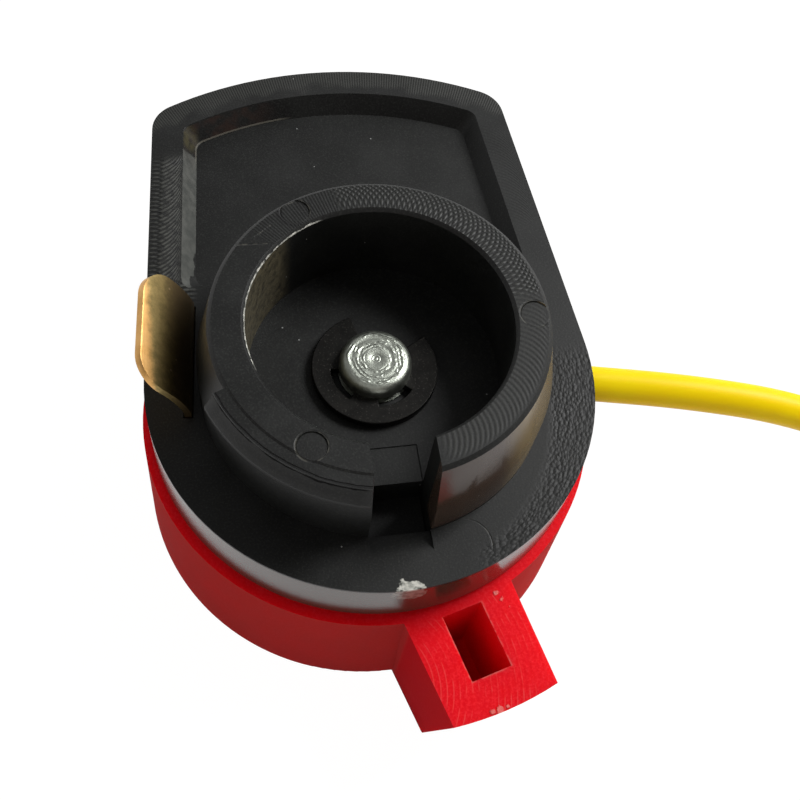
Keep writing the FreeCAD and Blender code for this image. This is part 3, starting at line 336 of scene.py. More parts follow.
def between(tree, number, low, high, slack):
    """1 between two numbers and 0 elsewhere, with soft ends of the given width."""
    return product(tree, step(tree, number, low - slack, low), outside(tree, number, high, high + slack))


def away_from(tree, place, centre):
    """Distance in millimetres from a point."""
    return node(tree, "VectorMath", {0: place, 1: centre}, operation="DISTANCE").outputs["Value"]


def polar(tree, across, up):
    """Distance from the pivot's axis and the angle round it, in radians from +X."""
    flat_place = node(tree, "CombineXYZ", {0: across, 1: up}).outputs[0]
    distance = node(tree, "VectorMath", {0: flat_place}, operation="LENGTH").outputs["Value"]
    return distance, math_node(tree, "ARCTAN2", up, across)


def cutter_arcs(tree, along, off, cutter, feed, lean):
    """Ridges left by a round cutter: arcs of its radius one feed apart along its path, leaning one way."""
    inside = math_node(tree, "SUBTRACT", cutter * cutter, math_node(tree, "MULTIPLY", off, off))
    arc = math_node(tree, "SQRT", math_node(tree, "MAXIMUM", inside, 0.0))
    spot = node(tree, "CombineXYZ", {0: total(tree, along, product(tree, arc, lean))}).outputs[0]
    return wave(tree, spot, feed, bands_direction="X")


def line_between(tree, across, up, start, end, width):
    """1 on a straight line between two points of the XY plane, with soft edges."""
    length = sqrt((end[0] - start[0]) ** 2 + (end[1] - start[1]) ** 2)
    way = ((end[0] - start[0]) / length, (end[1] - start[1]) / length)
    shift = -(way[0] * start[0] + way[1] * start[1])
    along = total(tree, product(tree, across, way[0]), product(tree, up, way[1]), shift)
    shift = way[1] * start[0] - way[0] * start[1]
    off = total(tree, product(tree, across, -way[1]), product(tree, up, way[0]), shift)
    off = math_node(tree, "ABSOLUTE", off)
    return product(tree, outside(tree, off, 0.2 * width, width), between(tree, along, 0.0, length, 0.1))


def ring_line(tree, place, centre, radius, width):
    """1 on a thin circle round a point, with soft edges."""
    off = math_node(tree, "ABSOLUTE", math_node(tree, "SUBTRACT", away_from(tree, place, centre), radius))
    return outside(tree, off, 0.2 * width, width)


def relief(tree, shader, height):
    """Bumps from a height in millimetres."""
    bump = node(tree, "Bump", {"Strength": 1.0, "Distance": MM, "Height": height})
    tree.links.new(bump.outputs[0], shader.inputs["Normal"])


def white_paper():
    """Matt white paper: white to the eye and in reflections, with a soft shadow under the switch."""
    material, tree, shader = start_material("white_paper", "#c9c3bd", Roughness=0.9)
    # In view most of the sheet's look is a glow just under white; the rest is lit and takes the shadow
    glow_share, glow_strength = 0.86, 1.14
    path = node(tree, "LightPath")
    seen = math_node(tree, "MAXIMUM", path.outputs["Is Camera Ray"], path.outputs["Is Glossy Ray"])
    seen = math_node(tree, "MAXIMUM", seen, path.outputs["Is Transmission Ray"])
    glow = node(tree, "Emission", {"Color": (1, 1, 1, 1), "Strength": glow_strength})
    share = math_node(tree, "MULTIPLY", seen, glow_share)
    both = node(tree, "MixShader", {0: share, 1: shader.outputs[0], 2: glow.outputs[0]})
    tree.links.new(both.outputs[0], tree.nodes["Material Output"].inputs["Surface"])
    return material


def zone(tree, level, height, slack=0.06):
    """1 where a surface lies at a level, in millimetres, and 0 elsewhere."""
    return math_node(tree, "COMPARE", level, height, slack)


def on_collar_edge(tree, level):
    """1 within 0.2 mm of the collar's rear end."""
    return step(tree, level, COLLAR_TOP - 0.3, COLLAR_TOP - 0.2)


def black_nylon():
    """Glass-filled nylon from a milled mould: black with a satin sheen that fine tool marks break up."""
    material, tree, shader = start_material(
        "black_nylon", "#101110", Roughness=0.45, IOR=1.5, Specular_IOR_Level=0.33,
    )
    place = place_in_mm(tree)
    across, up, level = node(tree, "SeparateXYZ", {0: place}).outputs
    facing = node(tree, "SeparateXYZ", {0: node(tree, "NewGeometry").outputs["Normal"]}).outputs[2]
    flat = step(tree, facing, 0.7, 0.95)
    distance, turn = polar(tree, across, up)
    on_collar = product(tree, zone(tree, level, COLLAR_TOP, 0.15), flat)
    on_plate = product(tree, zone(tree, level, 0.0, 0.05), flat)
    right_half = math_node(tree, "GREATER_THAN", across, -3.0)

    # A cutter went round the collar: leaning arcs 0.42 mm apart, crossed to dots at the top right
    path = product(tree, turn, 10.6)
    off = math_node(tree, "SUBTRACT", distance, 8.8)
    ways = [cutter_arcs(tree, path, off, 3.4, 0.42, lean) for lean in (-1, 1)]
    crossed = between(tree, turn, radians(10), radians(97), radians(6))
    plain = between(tree, turn, radians(-72), radians(8), radians(6))
    inner = outside(tree, distance, 11.1, 11.6)
    dots = product(tree, ways[0], ways[1], crossed, on_collar, right_half)
    arcs = product(tree, ways[0], plain, inner, on_collar, right_half)
    collar_marks = total(tree, product(tree, dots, 0.04), product(tree, arcs, 0.01))
    # Fine strokes 0.22 mm apart from there to the mark at the upper left
    strokes = wave(tree, node(tree, "CombineXYZ", {0: path}).outputs[0], 0.22, bands_direction="X")
    upper_left = between(tree, turn, radians(100), radians(133), radians(3))
    stroke_marks = product(tree, strokes, upper_left, on_collar, 0.012)

    # The shield's rim: arcs down its left side, fine strokes along its top and fainter arcs down its right
    left_off = total(tree, across, product(tree, up, -0.08), 17.33)
    left_ways = [cutter_arcs(tree, up, left_off, 3.0, 0.41, lean) for lean in (1, -1)]
    outer_part = outside(tree, left_off, 1.2, 1.6)
    left_marks = total(
        tree, product(tree, left_ways[0], math_node(tree, "SUBTRACT", 1.0, outer_part)),
        product(tree, left_ways[0], left_ways[1], outer_part, 0.6),
    )
    left_here = product(
        tree, outside(tree, across, -12.9, -12.3), between(tree, up, 9.0, 20.5, 2.0), on_plate,
    )
    top_path = node(tree, "CombineXYZ", {0: product(tree, turn, 29.0)}).outputs[0]
    top_strokes = wave(tree, top_path, 0.21, bands_direction="X")
    frayed = total(tree, distance, product(tree, noise(tree, place, 1.5, Detail=3.0), 2.4))
    top_here = product(tree, step(tree, frayed, 29.4, 30.4), step(tree, up, 20.0, 23.0), on_plate, 0.012)
    right_off = total(tree, across, product(tree, up, 0.045), -12.6)
    right_arcs = cutter_arcs(tree, up, right_off, 3.4, 0.36, -1)
    right_here = product(
        tree, step(tree, across, 11.0, 12.0), between(tree, up, 14.0, 22.0, 2.0), on_plate, 0.008,
    )
    left_marks = product(tree, left_marks, left_here)
    rim_marks = total(
        tree, product(tree, left_marks, 0.08), product(tree, top_strokes, top_here),
        product(tree, right_arcs, right_here),
    )

    # Leather grain about 0.25 mm wide near the plate's right edge, drawn out along the edge
    grain_place = node(tree, "CombineXYZ", {0: product(tree, turn, 9.5), 1: distance}).outputs[0]
    pebbles = node(tree, "TexVoronoi", {"Vector": grain_place, "Scale": 4.4}).outputs["Distance"]
    grain_here = product(
        tree, between(tree, turn, radians(-66), radians(-2), radians(8)), on_plate,
        step(tree, total(tree, distance, product(tree, up, 0.2)), 12.2, 13.0),
    )
    grain = product(tree, pebbles, grain_here, -0.04)
    satin = product(tree, noise(tree, place, 0.16, Detail=2.0), 0.008)

    # Marks of the mould's pins, a parting line and a tool line
    pin_marks = [
        product(tree, ring_line(tree, place, (*spot, COLLAR_TOP), 1.07, 0.1), on_collar)
        for spot in EJECTOR_MARKS
    ]
    round_mark = product(
        tree, ring_line(tree, place, (4.38, -14.0, 0.0), 1.95, 0.08), step(tree, across, 4.3, 5.2),
        step(tree, up, -14.8, -13.8), on_plate, 0.6,
    )
    tool_lines = [
        product(tree, line_between(tree, across, up, (-9.15, 7.0), (-6.9, 6.95), 0.09), on_collar),
        product(tree, line_between(tree, across, up, (-5.9, 10.1), (-4.4, 10.7), 0.08), on_collar),
        product(tree, line_between(tree, across, up, (-7.9, 7.6), (-6.7, 8.5), 0.07), on_collar),
    ]
    lines = total(tree, round_mark, *pin_marks, *tool_lines)
    bead_off = total(tree, distance, product(tree, noise(tree, place, 1.5, Detail=2.0), 0.25))
    crease = product(
        tree, between(tree, bead_off, 12.62, 12.68, 0.1), step(tree, level, 6.2, 6.5),
        between(tree, turn, radians(-158), radians(-99), radians(3)),
    )
    height = total(
        tree, collar_marks, stroke_marks, rim_marks, grain, satin, product(tree, lines, -0.03),
        product(tree, crease, -0.12),
    )
    relief(tree, shader, height)

    # Dull blotches, painted highlights on the crests of the tool marks, darker ground on the left rim, fine
    # specks and dust
    fine_chop = noise(tree, place, 0.5, Detail=3.0)
    blotches = noise(tree, place, 4.0, Detail=4.0)
    colour = blend_colours(tree, step(tree, blotches, 0.35, 0.7), "#0b0c0b", "#151615")
    crest_highlights = total(
        tree, product(tree, dots, 0.35), product(tree, arcs, 0.2),
        product(tree, left_marks, step(tree, fine_chop, 0.3, 0.6), 1.1),
        product(tree, top_strokes, top_here, 35.0),
    )
    colour = blend_colours(tree, left_here, colour, "#060706")
    # The crests' pale colour is a painted highlight
    colour = blend_colours(tree, crest_highlights, colour, "#4a4b46")
    fine = noise(tree, place, 0.14, Detail=1.0)
    colour = blend_colours(tree, product(tree, step(tree, fine, 0.5, 0.72), 0.45), colour, "#2c2e2b")
    colour = blend_colours(tree, product(tree, outside(tree, fine, 0.25, 0.42), 0.6), colour, "#040504")
    dust = node(tree, "TexVoronoi", {"Vector": place, "Scale": 0.5, "Randomness": 1.0})
    specks = math_node(tree, "LESS_THAN", dust.outputs["Distance"], 0.03)
    colour = blend_colours(tree, specks, colour, "#8a8c8a")
    # A pale mottled band painted on the tray's left slope as a sheen of light, with a torn inner edge
    torn = product(tree, math_node(tree, "SUBTRACT", noise(tree, place, 1.6, Detail=3.0), 0.5), 1.1)
    edge = total(tree, across, product(tree, up, -0.109), torn)
    painted_sheen = product(
        tree, outside(tree, edge, -13.88, -13.83), step(tree, across, -14.0, -13.8),
        between(tree, up, 8.0, 22.6, 0.3), outside(tree, level, -0.08, -0.03),
        step(tree, level, -1.49, -1.46),
    )
    mottle = step(tree, noise(tree, place, 0.8, Detail=4.0), 0.3, 0.7)
    mottled = blend_colours(tree, mottle, "#3e403d", "#535450")
    colour = blend_colours(tree, painted_sheen, colour, mottled)
    # Painted warm brown reflection in the tray's upper left corner, painted olive reflection at the corner
    # itself, and a painted highlight along the foot of the tray's far wall
    warm_reflection = product(
        tree, outside(tree, away_from(tree, place, (-9.5, 26.0, -0.8)), 1.5, 6.0),
        outside(tree, level, -0.1, -0.05), step(tree, level, -1.48, -1.4),
        step(tree, noise(tree, place, 1.3, Detail=3.0), 0.35, 0.65),
    )
    colour = blend_colours(tree, product(tree, warm_reflection, 0.7), colour, "#2f1f18")
    # Lighter olive at the corner itself is a painted reflection
    olive_reflection = outside(tree, away_from(tree, place, (-12.4, 24.3, -0.7)), 0.7, 1.6)
    olive_reflection = product(tree, olive_reflection, outside(tree, level, -0.1, -0.05), step(tree, level, -1.48, -1.4))
    olive_reflection = product(tree, olive_reflection, step(tree, fine_chop, 0.2, 0.6), 0.9)
    colour = blend_colours(tree, olive_reflection, colour, "#3d3822")
    # A painted highlight along the foot of the far wall
    foot_highlight = product(
        tree, zone(tree, level, -1.4, 0.06), between(tree, across, -11.5, -4.5, 1.5),
        step(tree, up, 22.0, 23.0),
    )
    colour = blend_colours(tree, product(tree, foot_highlight, 0.5), colour, "#77746a")
    # A painted highlight, pale as bare plastic, along the collar's inner edge at the left, and bare, whitened
    # plastic on a chip at the plate's edge
    left_turn = math_node(tree, "ARCTAN2", up, math_node(tree, "MULTIPLY", across, -1.0))
    wobble = product(tree, noise(tree, place, 0.6, Detail=3.0), 0.2)
    edge_highlight = product(
        tree, between(tree, left_turn, radians(-14), radians(66), radians(6)), on_collar_edge(tree, level),
        outside(tree, math_node(tree, "SUBTRACT", distance, wobble), 9.24, 9.29),
        step(tree, distance, 9.2, 9.25),
        step(tree, noise(tree, place, 0.45, Detail=2.0), 0.3, 0.48),
    )
    chip_place = away_from(tree, place, (0.15, -16.85, -0.85))
    ragged = product(tree, noise(tree, place, 0.7, Detail=4.0), 1.9)
    chip_edge = total(tree, chip_place, ragged)
    chip = product(tree, outside(tree, chip_edge, 1.95, 2.15), step(tree, level, -2.2, -1.8))
    # pale joins the painted edge highlight with the bare chip
    pale = math_node(tree, "MAXIMUM", edge_highlight, chip)
    torn_face = step(tree, noise(tree, place, 0.4, Detail=3.0), 0.35, 0.6)
    bare = blend_colours(tree, torn_face, "#85877f", "#c9c8bf")
    colour = blend_colours(tree, pale, colour, bare)
    # Pale broken scratches on the marks, a painted shadow as a dark crescent at one of them and painted shade
    # in the crease over the bead
    broken = step(tree, noise(tree, place, 0.7, Detail=3.0), 0.42, 0.62)
    scratches = product(tree, math_node(tree, "MINIMUM", lines, 1.0), broken)
    colour = blend_colours(tree, product(tree, scratches, 0.25), colour, "#7d7b70")
    crescent_shadow = product(
        tree, ring_line(tree, place, (*EJECTOR_MARKS[1], COLLAR_TOP), 1.17, 0.3), on_collar,
        outside(tree, total(tree, across, up), 3.9, 4.7),
    )
    painted_shade = math_node(tree, "MAXIMUM", crescent_shadow, product(tree, crease, 0.8))
    colour = blend_colours(tree, painted_shade, colour, "#020202")
    # Polished upright walls round the plate and on the collar's right get a painted brown reflection, golden
    # as a painted highlight in one part, and the bore's left wall gets a painted greenish brown reflection
    upright = outside(tree, math_node(tree, "ABSOLUTE", facing), 0.25, 0.4)
    plate_wall = product(
        tree, outside(tree, level, -0.3, -0.1), outside(tree, up, 0.0, 3.0), step(tree, distance, 15.0, 15.5),
    )
    collar_wall = product(
        tree, step(tree, distance, 11.0, 11.3), between(tree, turn, radians(-82), radians(20), radians(8)),
        step(tree, level, 0.0, 0.5),
    )
    walls = product(tree, upright, math_node(tree, "MAXIMUM", plate_wall, collar_wall))
    colour = blend_colours(tree, product(tree, walls, 0.7), colour, "#4a3b31")
    golden_highlight = product(tree, upright, collar_wall, between(tree, turn, radians(-42), radians(2), radians(16)))
    colour = blend_colours(tree, product(tree, golden_highlight, 0.6), colour, "#8a7850")
    # Painted greenish brown reflection on the bore's left wall
    bore_reflection = product(
        tree, upright, outside(tree, distance, 9.36, 9.42), outside(tree, across, -6.5, -5.2),
        step(tree, level, BORE_FLOOR, BORE_FLOOR + 0.1),
    )
    bore_reflection = product(tree, bore_reflection, step(tree, fine_chop, 0.1, 0.7), 0.95)
    colour = blend_colours(tree, bore_reflection, colour, "#57513f")
    tree.links.new(colour, shader.inputs["Base Color"])
    rough = node(tree, "MapRange", {"Value": blotches, "To Min": 0.42, "To Max": 0.6}).outputs[0]
    rough = node(tree, "Mix", {0: walls, 2: rough, 3: 0.2}).outputs[0]
    tree.links.new(rough, shader.inputs["Roughness"])
    return material


def red_plastic():
    """Moulded ABS, a strong red that glows a little where light gets into it, with a semi-gloss skin."""
    material, tree, shader = start_material(
        "red_plastic", "#ea0a16", Roughness=0.45, IOR=1.5, Specular_IOR_Level=0.05, Subsurface_Weight=0.6,
        Subsurface_Scale=3.0 * MM,
    )
    shader.inputs["Subsurface Radius"].default_value = (1.0, 0.08, 0.06)
    place = place_in_mm(tree)
    across, up, level = node(tree, "SeparateXYZ", {0: place}).outputs
    distance, turn = polar(tree, across, up)
    cloud = noise(tree, place, 5.0, Detail=3.0)
    colour = blend_colours(tree, cloud, "#de0a1a", "#ee1220")
    mottle = step(tree, noise(tree, place, 0.16, Detail=2.0), 0.4, 0.7)
    colour = blend_colours(tree, product(tree, mottle, 0.35), colour, "#f5343c")
    # Cutter arcs 0.45 mm apart on the lever's and the rim's rear, a few of them scratched pale
    facing = node(tree, "SeparateXYZ", {0: node(tree, "NewGeometry").outputs["Normal"]}).outputs[2]
    flat = step(tree, facing, 0.7, 0.95)
    reach = away_from(tree, place, (-3.65, -21.75, LEVER_REAR))
    spot = node(tree, "CombineXYZ", {0: reach}).outputs[0]
    arcs = wave(tree, spot, 0.45, bands_direction="X")
    patchy = step(tree, noise(tree, place, 1.6, Detail=2.0), 0.45, 0.62)
    on_lever = product(tree, step(tree, distance, 17.3, 17.8), zone(tree, level, LEVER_REAR, 0.1))
    thin = product(tree, step(tree, arcs, 0.85, 1.0), patchy, flat, on_lever)
    colour = blend_colours(tree, product(tree, thin, 0.15), colour, "#f08a84")
    # The pocket's torn, pale rim
    corners = [(2.95, -17.28), (5.94, -16.49), (7.23, -21.36), (4.23, -22.15)]
    sides = [
        line_between(tree, across, up, start, end, 0.16)
        for start, end in zip(corners, corners[1:] + corners[:1])
    ]
    torn = step(tree, noise(tree, place, 0.6, Detail=3.0), 0.4, 0.6)
    rim = product(tree, total(tree, *sides), on_lever, torn)
    colour = blend_colours(tree, product(tree, math_node(tree, "MINIMUM", rim, 1.0), 0.4), colour, "#e8827c")
    # Small blisters at the lever's root and a patch at its end, their pale colour a painted highlight
    uneven = product(tree, noise(tree, place, 0.35, Detail=3.0), 0.5)
    blisters_and_highlights = 0.0
    for x, y, size in BLISTER_SPOTS:
        spot_near = total(tree, away_from(tree, place, (x, y, LEVER_REAR)), uneven)
        blisters_and_highlights = math_node(tree, "MAXIMUM", blisters_and_highlights, outside(tree, spot_near, size + 0.08, size + 0.2))
    colour = blend_colours(tree, product(tree, blisters_and_highlights, 0.55), colour, "#f59a90")
    # The upright outer walls are duller, with painted shade darkening them on the lever and a painted
    # brownish shade on the round wall
    upright = outside(tree, math_node(tree, "ABSOLUTE", facing), 0.3, 0.6)
    lean = radians(LEVER_TURN)
    aside = total(tree, product(tree, across, cos(lean)), product(tree, up, sin(lean)))
    aside = math_node(tree, "ABSOLUTE", aside)
    in_pocket = product(
        tree, outside(tree, aside, 1.7, 1.9), outside(tree, distance, 22.8, 22.9),
        outside(tree, up, -8.0, -6.0),
    )
    not_pocket = math_node(tree, "SUBTRACT", 1.0, in_pocket)
    walls = product(tree, upright, step(tree, distance, 16.9, 17.1), not_pocket)
    lever_wall_shade = product(tree, walls, step(tree, distance, 18.0, 18.4), outside(tree, up, -8.0, -6.0))
    colour = blend_colours(tree, product(tree, lever_wall_shade, 0.6), colour, "#9c0710")
    round_wall_shade = product(tree, walls, outside(tree, distance, 18.0, 18.4))
    patch = noise(tree, place, 6.0, Detail=2.0)
    patch = node(tree, "MapRange", {"Value": patch, "To Min": 0.4, "To Max": 0.6}).outputs[0]
    colour = blend_colours(tree, product(tree, round_wall_shade, patch), colour, "#6a3a33")
    tree.links.new(colour, shader.inputs["Base Color"])
    rough = node(tree, "MapRange", {"Value": upright, "To Min": 0.45, "To Max": 0.8}).outputs[0]
    tree.links.new(rough, shader.inputs["Roughness"])
    ripple = product(tree, noise(tree, place, 1.2, Detail=2.0), 0.02)
    grain = product(tree, noise(tree, place, 0.2, Detail=2.0), 0.008)
    chips = product(tree, blisters_and_highlights, 0.2)
    relief(tree, shader, total(tree, product(tree, arcs, flat, 0.004), ripple, grain, chips))
    return material


def zinc_plated_steel():
    """Turned steel with a thin zinc plating: pale greenish grey, with broken rings on its end."""
    material, tree, shader = start_material("zinc_plated_steel", "#b4b9ad", Metallic=1.0, Roughness=0.3)
    place = place_in_mm(tree)
    across, up, _ = node(tree, "SeparateXYZ", {0: place}).outputs
    distance, _ = polar(tree, across, up)
    cloud = noise(tree, place, 0.5, Detail=5.0, Roughness=0.65)
    tree.links.new(blend_colours(tree, cloud, "#8b9086", "#ccd1c6"), shader.inputs["Base Color"])
    rough = node(tree, "MapRange", {"Value": cloud, "To Min": 0.3, "To Max": 0.5}).outputs[0]
    tree.links.new(rough, shader.inputs["Roughness"])
    # Ridges 0.3 mm apart that wander and break off, outside a smooth middle
    wander = product(tree, noise(tree, place, 0.9, Detail=2.0), 0.5)
    spot = node(tree, "CombineXYZ", {0: total(tree, distance, wander)}).outputs[0]
    ridges = wave(tree, spot, 0.3, bands_direction="X")
    broken = step(tree, noise(tree, place, 0.7, Detail=1.0), 0.4, 0.6)
    ridges = product(tree, ridges, broken, between(tree, distance, 0.95, 2.1, 0.15), 0.035)
    dot = product(tree, ring_line(tree, place, (0, 0, PIN_HIGH.z), 0.25, 0.1), 0.03)
    pits = product(tree, noise(tree, place, 0.12, Detail=2.0), 0.012)
    relief(tree, shader, total(tree, ridges, dot, pits))
    return material


def blackened_spring_steel():
    """Stamped spring steel with black oxide, a dark grey metal with a faint sheen."""
    material, tree, shader = start_material("blackened_spring_steel", "#3a3a3b", Metallic=1.0, Roughness=0.45)
    place = place_in_mm(tree)
    cloud = noise(tree, place, 0.9, Detail=4.0)
    colour = blend_colours(tree, cloud, "#1b1b1b", "#302f2d")
    fine = step(tree, noise(tree, place, 0.13, Detail=1.0), 0.6, 0.75)
    colour = blend_colours(tree, product(tree, fine, 0.4), colour, "#55544f")
    tree.links.new(colour, shader.inputs["Base Color"])
    relief(tree, shader, math_node(tree, "MULTIPLY", noise(tree, place, 0.1, Detail=2.0), 0.006))
    return material


def brass_strip():
    """Rolled brass, bright on the tongue and darker, olive then brown, towards its foot as painted shade."""
    material, tree, shader = start_material("brass_strip", "#c9a062", Metallic=1.0, Roughness=0.38)
    place = place_in_mm(tree)
    across, _, _ = node(tree, "SeparateXYZ", {0: place}).outputs
    stain = noise(tree, place, 1.3, Detail=6.0, Roughness=0.7)
    ragged = total(tree, across, product(tree, math_node(tree, "SUBTRACT", stain, 0.5), 0.7))
    bright_brass = blend_colours(tree, step(tree, stain, 0.4, 0.75), "#d8aa6c", "#c59758")
    olive_shade = blend_colours(tree, step(tree, stain, 0.35, 0.65), "#a8925f", "#7d6d46")
    # Olive and then brown towards the foot are painted shade
    colour = blend_colours(tree, step(tree, ragged, -15.9, -15.4), bright_brass, olive_shade)
    colour = blend_colours(tree, step(tree, ragged, -14.9, -13.6), colour, "#7a6748")
    spots = node(tree, "TexVoronoi", {"Vector": place, "Scale": 0.9, "Randomness": 1.0})
    spots = product(tree, outside(tree, spots.outputs["Distance"], 0.05, 0.12), 0.6)
    tree.links.new(blend_colours(tree, spots, colour, "#dcc096"), shader.inputs["Base Color"])
    rough = node(tree, "MapRange", {"Value": stain, "To Min": 0.32, "To Max": 0.6}).outputs[0]
    tree.links.new(rough, shader.inputs["Roughness"])
    rolled = node(tree, "Mapping", {"Vector": place, "Scale": (1.0, 0.06, 1.0)}).outputs[0]
    lines = product(tree, noise(tree, rolled, 0.12, Detail=2.0), 0.004)
    pits = product(tree, noise(tree, place, 0.3, Detail=3.0), 0.01)
    relief(tree, shader, total(tree, lines, pits))
    return material


def yellow_vinyl():
    """Extruded vinyl insulation: smooth, even yellow with a soft shine and a little light inside."""
    material, tree, shader = start_material(
        "yellow_vinyl", "#ffdc00", Roughness=0.4, IOR=1.5, Specular_IOR_Level=0.15, Subsurface_Weight=0.1,
        Subsurface_Scale=1.0 * MM,
    )
    shader.inputs["Subsurface Radius"].default_value = (1.0, 0.75, 0.05)
    place = place_in_mm(tree)
    cloud = noise(tree, place, 3.0, Detail=2.0)
    tree.links.new(blend_colours(tree, cloud, "#ffd400", "#ffe400"), shader.inputs["Base Color"])
    relief(tree, shader, math_node(tree, "MULTIPLY", noise(tree, place, 0.8, Detail=2.0), 0.012))
    return material


def plain_metal(name, low, high, roughness, grain):
    """A bare metal whose colour drifts between two shades, with a fine grain in millimetres."""
    material, tree, shader = start_material(name, high, Metallic=1.0, Roughness=roughness)
    place = place_in_mm(tree)
    cloud = noise(tree, place, 0.8, Detail=4.0)
    tree.links.new(blend_colours(tree, cloud, low, high), shader.inputs["Base Color"])
    relief(tree, shader, math_node(tree, "MULTIPLY", noise(tree, place, grain, Detail=2.0), 0.005))
    return material


def sleeve_vinyl():
    """Soft black vinyl sleeve with a dull skin."""
    material, tree, shader = start_material("sleeve_vinyl", "#1f1f20", Roughness=0.5, IOR=1.53)
    place = place_in_mm(tree)
    cloud = noise(tree, place, 2.0, Detail=3.0)
    tree.links.new(blend_colours(tree, cloud, "#191a1a", "#2a2a2b"), shader.inputs["Base Color"])
    relief(tree, shader, math_node(tree, "MULTIPLY", noise(tree, place, 0.5, Detail=2.0), 0.02))
    return material


# Lead

# The lead's route in millimetres, then the tail after its coil, as the solids have it
LEAD_ROUTE = [
    (12.757, 0.118, -3.05),
    (16.929, -0.693, -3.05),
    (25.0, -2.27, -3.1),
    (33.5, -4.3, -3.7),
    (41.5, -6.6, -6.6),
    (49.0, -8.6, -11.0),
    (56.5, -10.2, -14.6),
    (64.0, -10.8, -15.85),
]
TAIL_ROUTE = [
    (69.5, -9.6, -13.1),
    (78.2, -9.4, -13.3),
    (84.8, -4.6, -15.6),
    (87.0, 3.8, -15.85),
    (87.0, 13.0, -15.6),
    (84.0, 21.6, -14.65),
    (78.6, 29.0, -14.65),
]
COIL_CENTRE = (66.0, 6.1)
LEAD_RADIUS = 1.4
COIL_STEPS = 20


def coil_route():
    """Three turns: one outside and one inside on the floor, then one on top between them."""
    outer, inner, middle = 17.0, 14.1, 15.6
    low = FLOOR + LEAD_RADIUS
    high = low + sqrt(3) * LEAD_RADIUS
    route = []
    for count in range(1, 3 * COIL_STEPS):
        turn = count / COIL_STEPS
        angle = radians(-90) + 2 * pi * turn
        inward = min(max((turn - 0.85) / 0.3, 0), 1)
        lifted = min(max((turn - 1.85) / 0.3, 0), 1)
        radius = outer + (inner - outer) * inward + (middle - inner) * lifted
        level = low + (high - low) * lifted
        route.append((COIL_CENTRE[0] + radius * cos(angle), COIL_CENTRE[1] + radius * sin(angle), level))
    return route


def make_lead(material):
    """The lead as one smooth curve, from the solder joint through the base to its terminal."""
    route = LEAD_ROUTE + coil_route() + TAIL_ROUTE
    line = bpy.data.curves.new("lead", "CURVE")
    line.dimensions = "3D"
    line.bevel_depth = LEAD_RADIUS * MM
    line.bevel_resolution = 7
    line.resolution_u = 10
    line.use_fill_caps = True
    spline = line.splines.new("NURBS")
    spline.points.add(len(route) - 1)
    for point, place in zip(spline.points, route):
        point.co = (*(axis * MM for axis in place), 1)
    spline.order_u = 3
    spline.use_endpoint_u = True
    lead = bpy.data.objects.new("lead", line)
    bpy.context.scene.collection.objects.link(lead)
    line.materials.append(material)
    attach(lead, "base")
    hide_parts("lead_wire", "lead_tail", "lead_coil")


# Metal pieces


def make_pin(material):
    """The pivot pin with its clip groove, a well rounded end and a dot in the middle of it."""
    radius, groove, edge = 2.65, 2.0, 0.65
    steps = [
        (radius, PIN_LOW.z), (radius, CLIP_LOW.z), (groove, CLIP_LOW.z + 0.01), (groove, CLIP_HIGH.z),
        (radius, CLIP_HIGH.z + 0.01),
    ]
    for part in range(9):
        angle = radians(90 * part / 8)
        steps.append((radius - edge + edge * cos(angle), PIN_HIGH.z - edge + edge * sin(angle)))
    for ring in (1.75, 1.15):
        steps += [(ring + 0.1, PIN_HIGH.z), (ring, PIN_HIGH.z - 0.03), (ring - 0.1, PIN_HIGH.z)]
    steps += [(0.3, PIN_HIGH.z), (0.22, PIN_HIGH.z - 0.05), (0.12, PIN_HIGH.z - 0.02), (0.05, PIN_HIGH.z)]
    pin = turned_piece(steps)
    smooth(pin, 50)
    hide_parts("pivot_pin")
    dress(pin, "pivot_pin_turned", "knob", material)


# Base and knob


def make_base(material):
    base = refined_copy("base_housing", 0.09)
    smooth(base)
    dress(base, "base_moulding", "base", material)


def make_knob(material):
    knob = refined_copy("rotary_knob", 0.14, 3)
    smooth(knob)
    dress(knob, "knob_moulding", "knob", material)


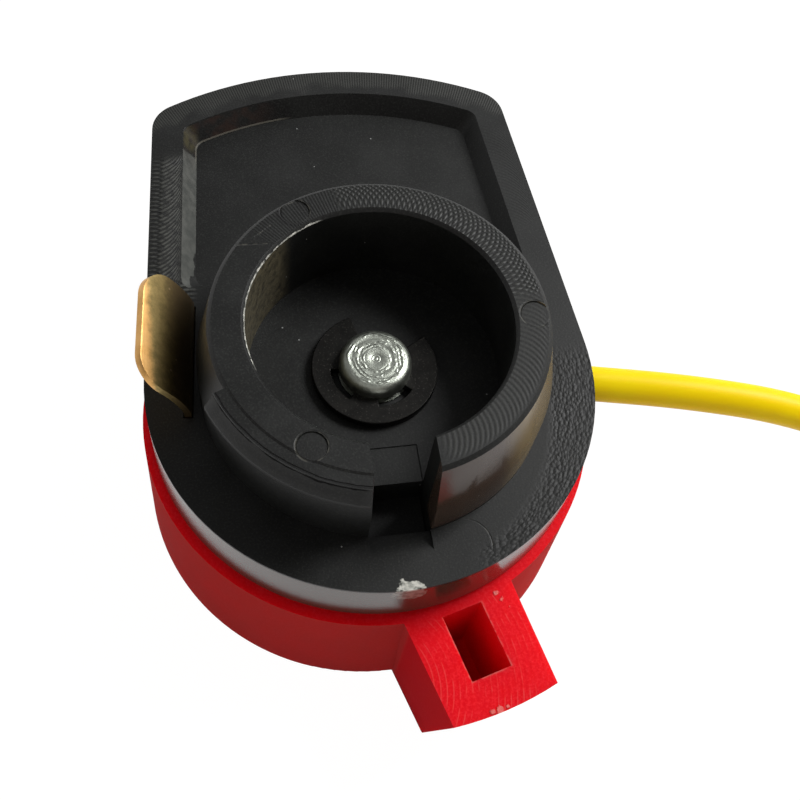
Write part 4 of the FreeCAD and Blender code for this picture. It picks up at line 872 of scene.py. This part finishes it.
def make_word(word, angle, material):
    """A raised word on the shield's front, read from the front and set round the pivot."""
    reach, size, rise = 23.6, 3.0, 0.3
    bpy.ops.object.select_all(action="DESELECT")
    bpy.ops.object.text_add()
    text = bpy.context.object
    text.data.body = word
    text.data.size = size * MM
    text.data.align_x = "CENTER"
    text.data.align_y = "CENTER"
    text.data.extrude = rise * MM
    text.data.bevel_depth = 0.05 * MM
    text.rotation_euler = (0, radians(180), radians(angle - 90))
    text.location = (reach * cos(radians(angle)) * MM, reach * sin(radians(angle)) * MM, PLATE_FRONT * MM)
    bpy.ops.object.convert(target="MESH")
    word_piece = bpy.context.object
    apply_place(word_piece)
    dress(word_piece, "mark_" + word.lower(), "base", material)


def finish_nodes(finishes):
    """Gives each solid that shows as it is its own finish."""
    for name, material in finishes.items():
        NODES[name].data.materials.clear()
        NODES[name].data.materials.append(material)


add_camera()
yellow = yellow_vinyl()
make_lead(yellow)
add_floor()
add_world()
add_light("key", 22, 45, 0.2, 2.4)
add_light("fill", 250, 50, 0.5, 0.35)

black = black_nylon()
red = red_plastic()
zinc = zinc_plated_steel()
oxide = blackened_spring_steel()
brass = brass_strip()
spring_steel = plain_metal("drawn_spring_steel", "#77787a", "#a2a4a6", 0.35, 0.2)
make_base(black)
make_knob(red)
make_pin(zinc)
clip = refined_copy("retaining_clip", 0.08)
smooth(clip)
dress(clip, "retaining_ring", "knob", oxide)
tongue = refined_copy("ground_contact", 0.05)
smooth(tongue)
dress(tongue, "ground_tongue", "base", brass)
for word, angle in (("OFF", 90 + LEVER_TURN), ("ON", 90 - LEVER_TURN)):
    make_word(word, angle, black)
finish_nodes({
    "line_contact": brass,
    "contact_bridge": brass,
    "bridge_contact_tips": plain_metal("silver_contact", "#c9c8c3", "#e6e4de", 0.25, 0.2),
    "contact_spring": spring_steel,
    "detent_spring": spring_steel,
    "detent_ball": plain_metal("bearing_steel", "#c4c6c9", "#dfe1e3", 0.12, 0.5),
    "conductor_strands": plain_metal("tinned_copper", "#b9b2a6", "#d3cdc2", 0.35, 0.15),
    "solder_joint": plain_metal("solder", "#a5a6a8", "#cfd0d2", 0.3, 0.4),
    "bullet_terminal": plain_metal("tinned_brass", "#bdb9ae", "#dcd9d0", 0.28, 0.3),
    "terminal_sleeve": sleeve_vinyl(),
})
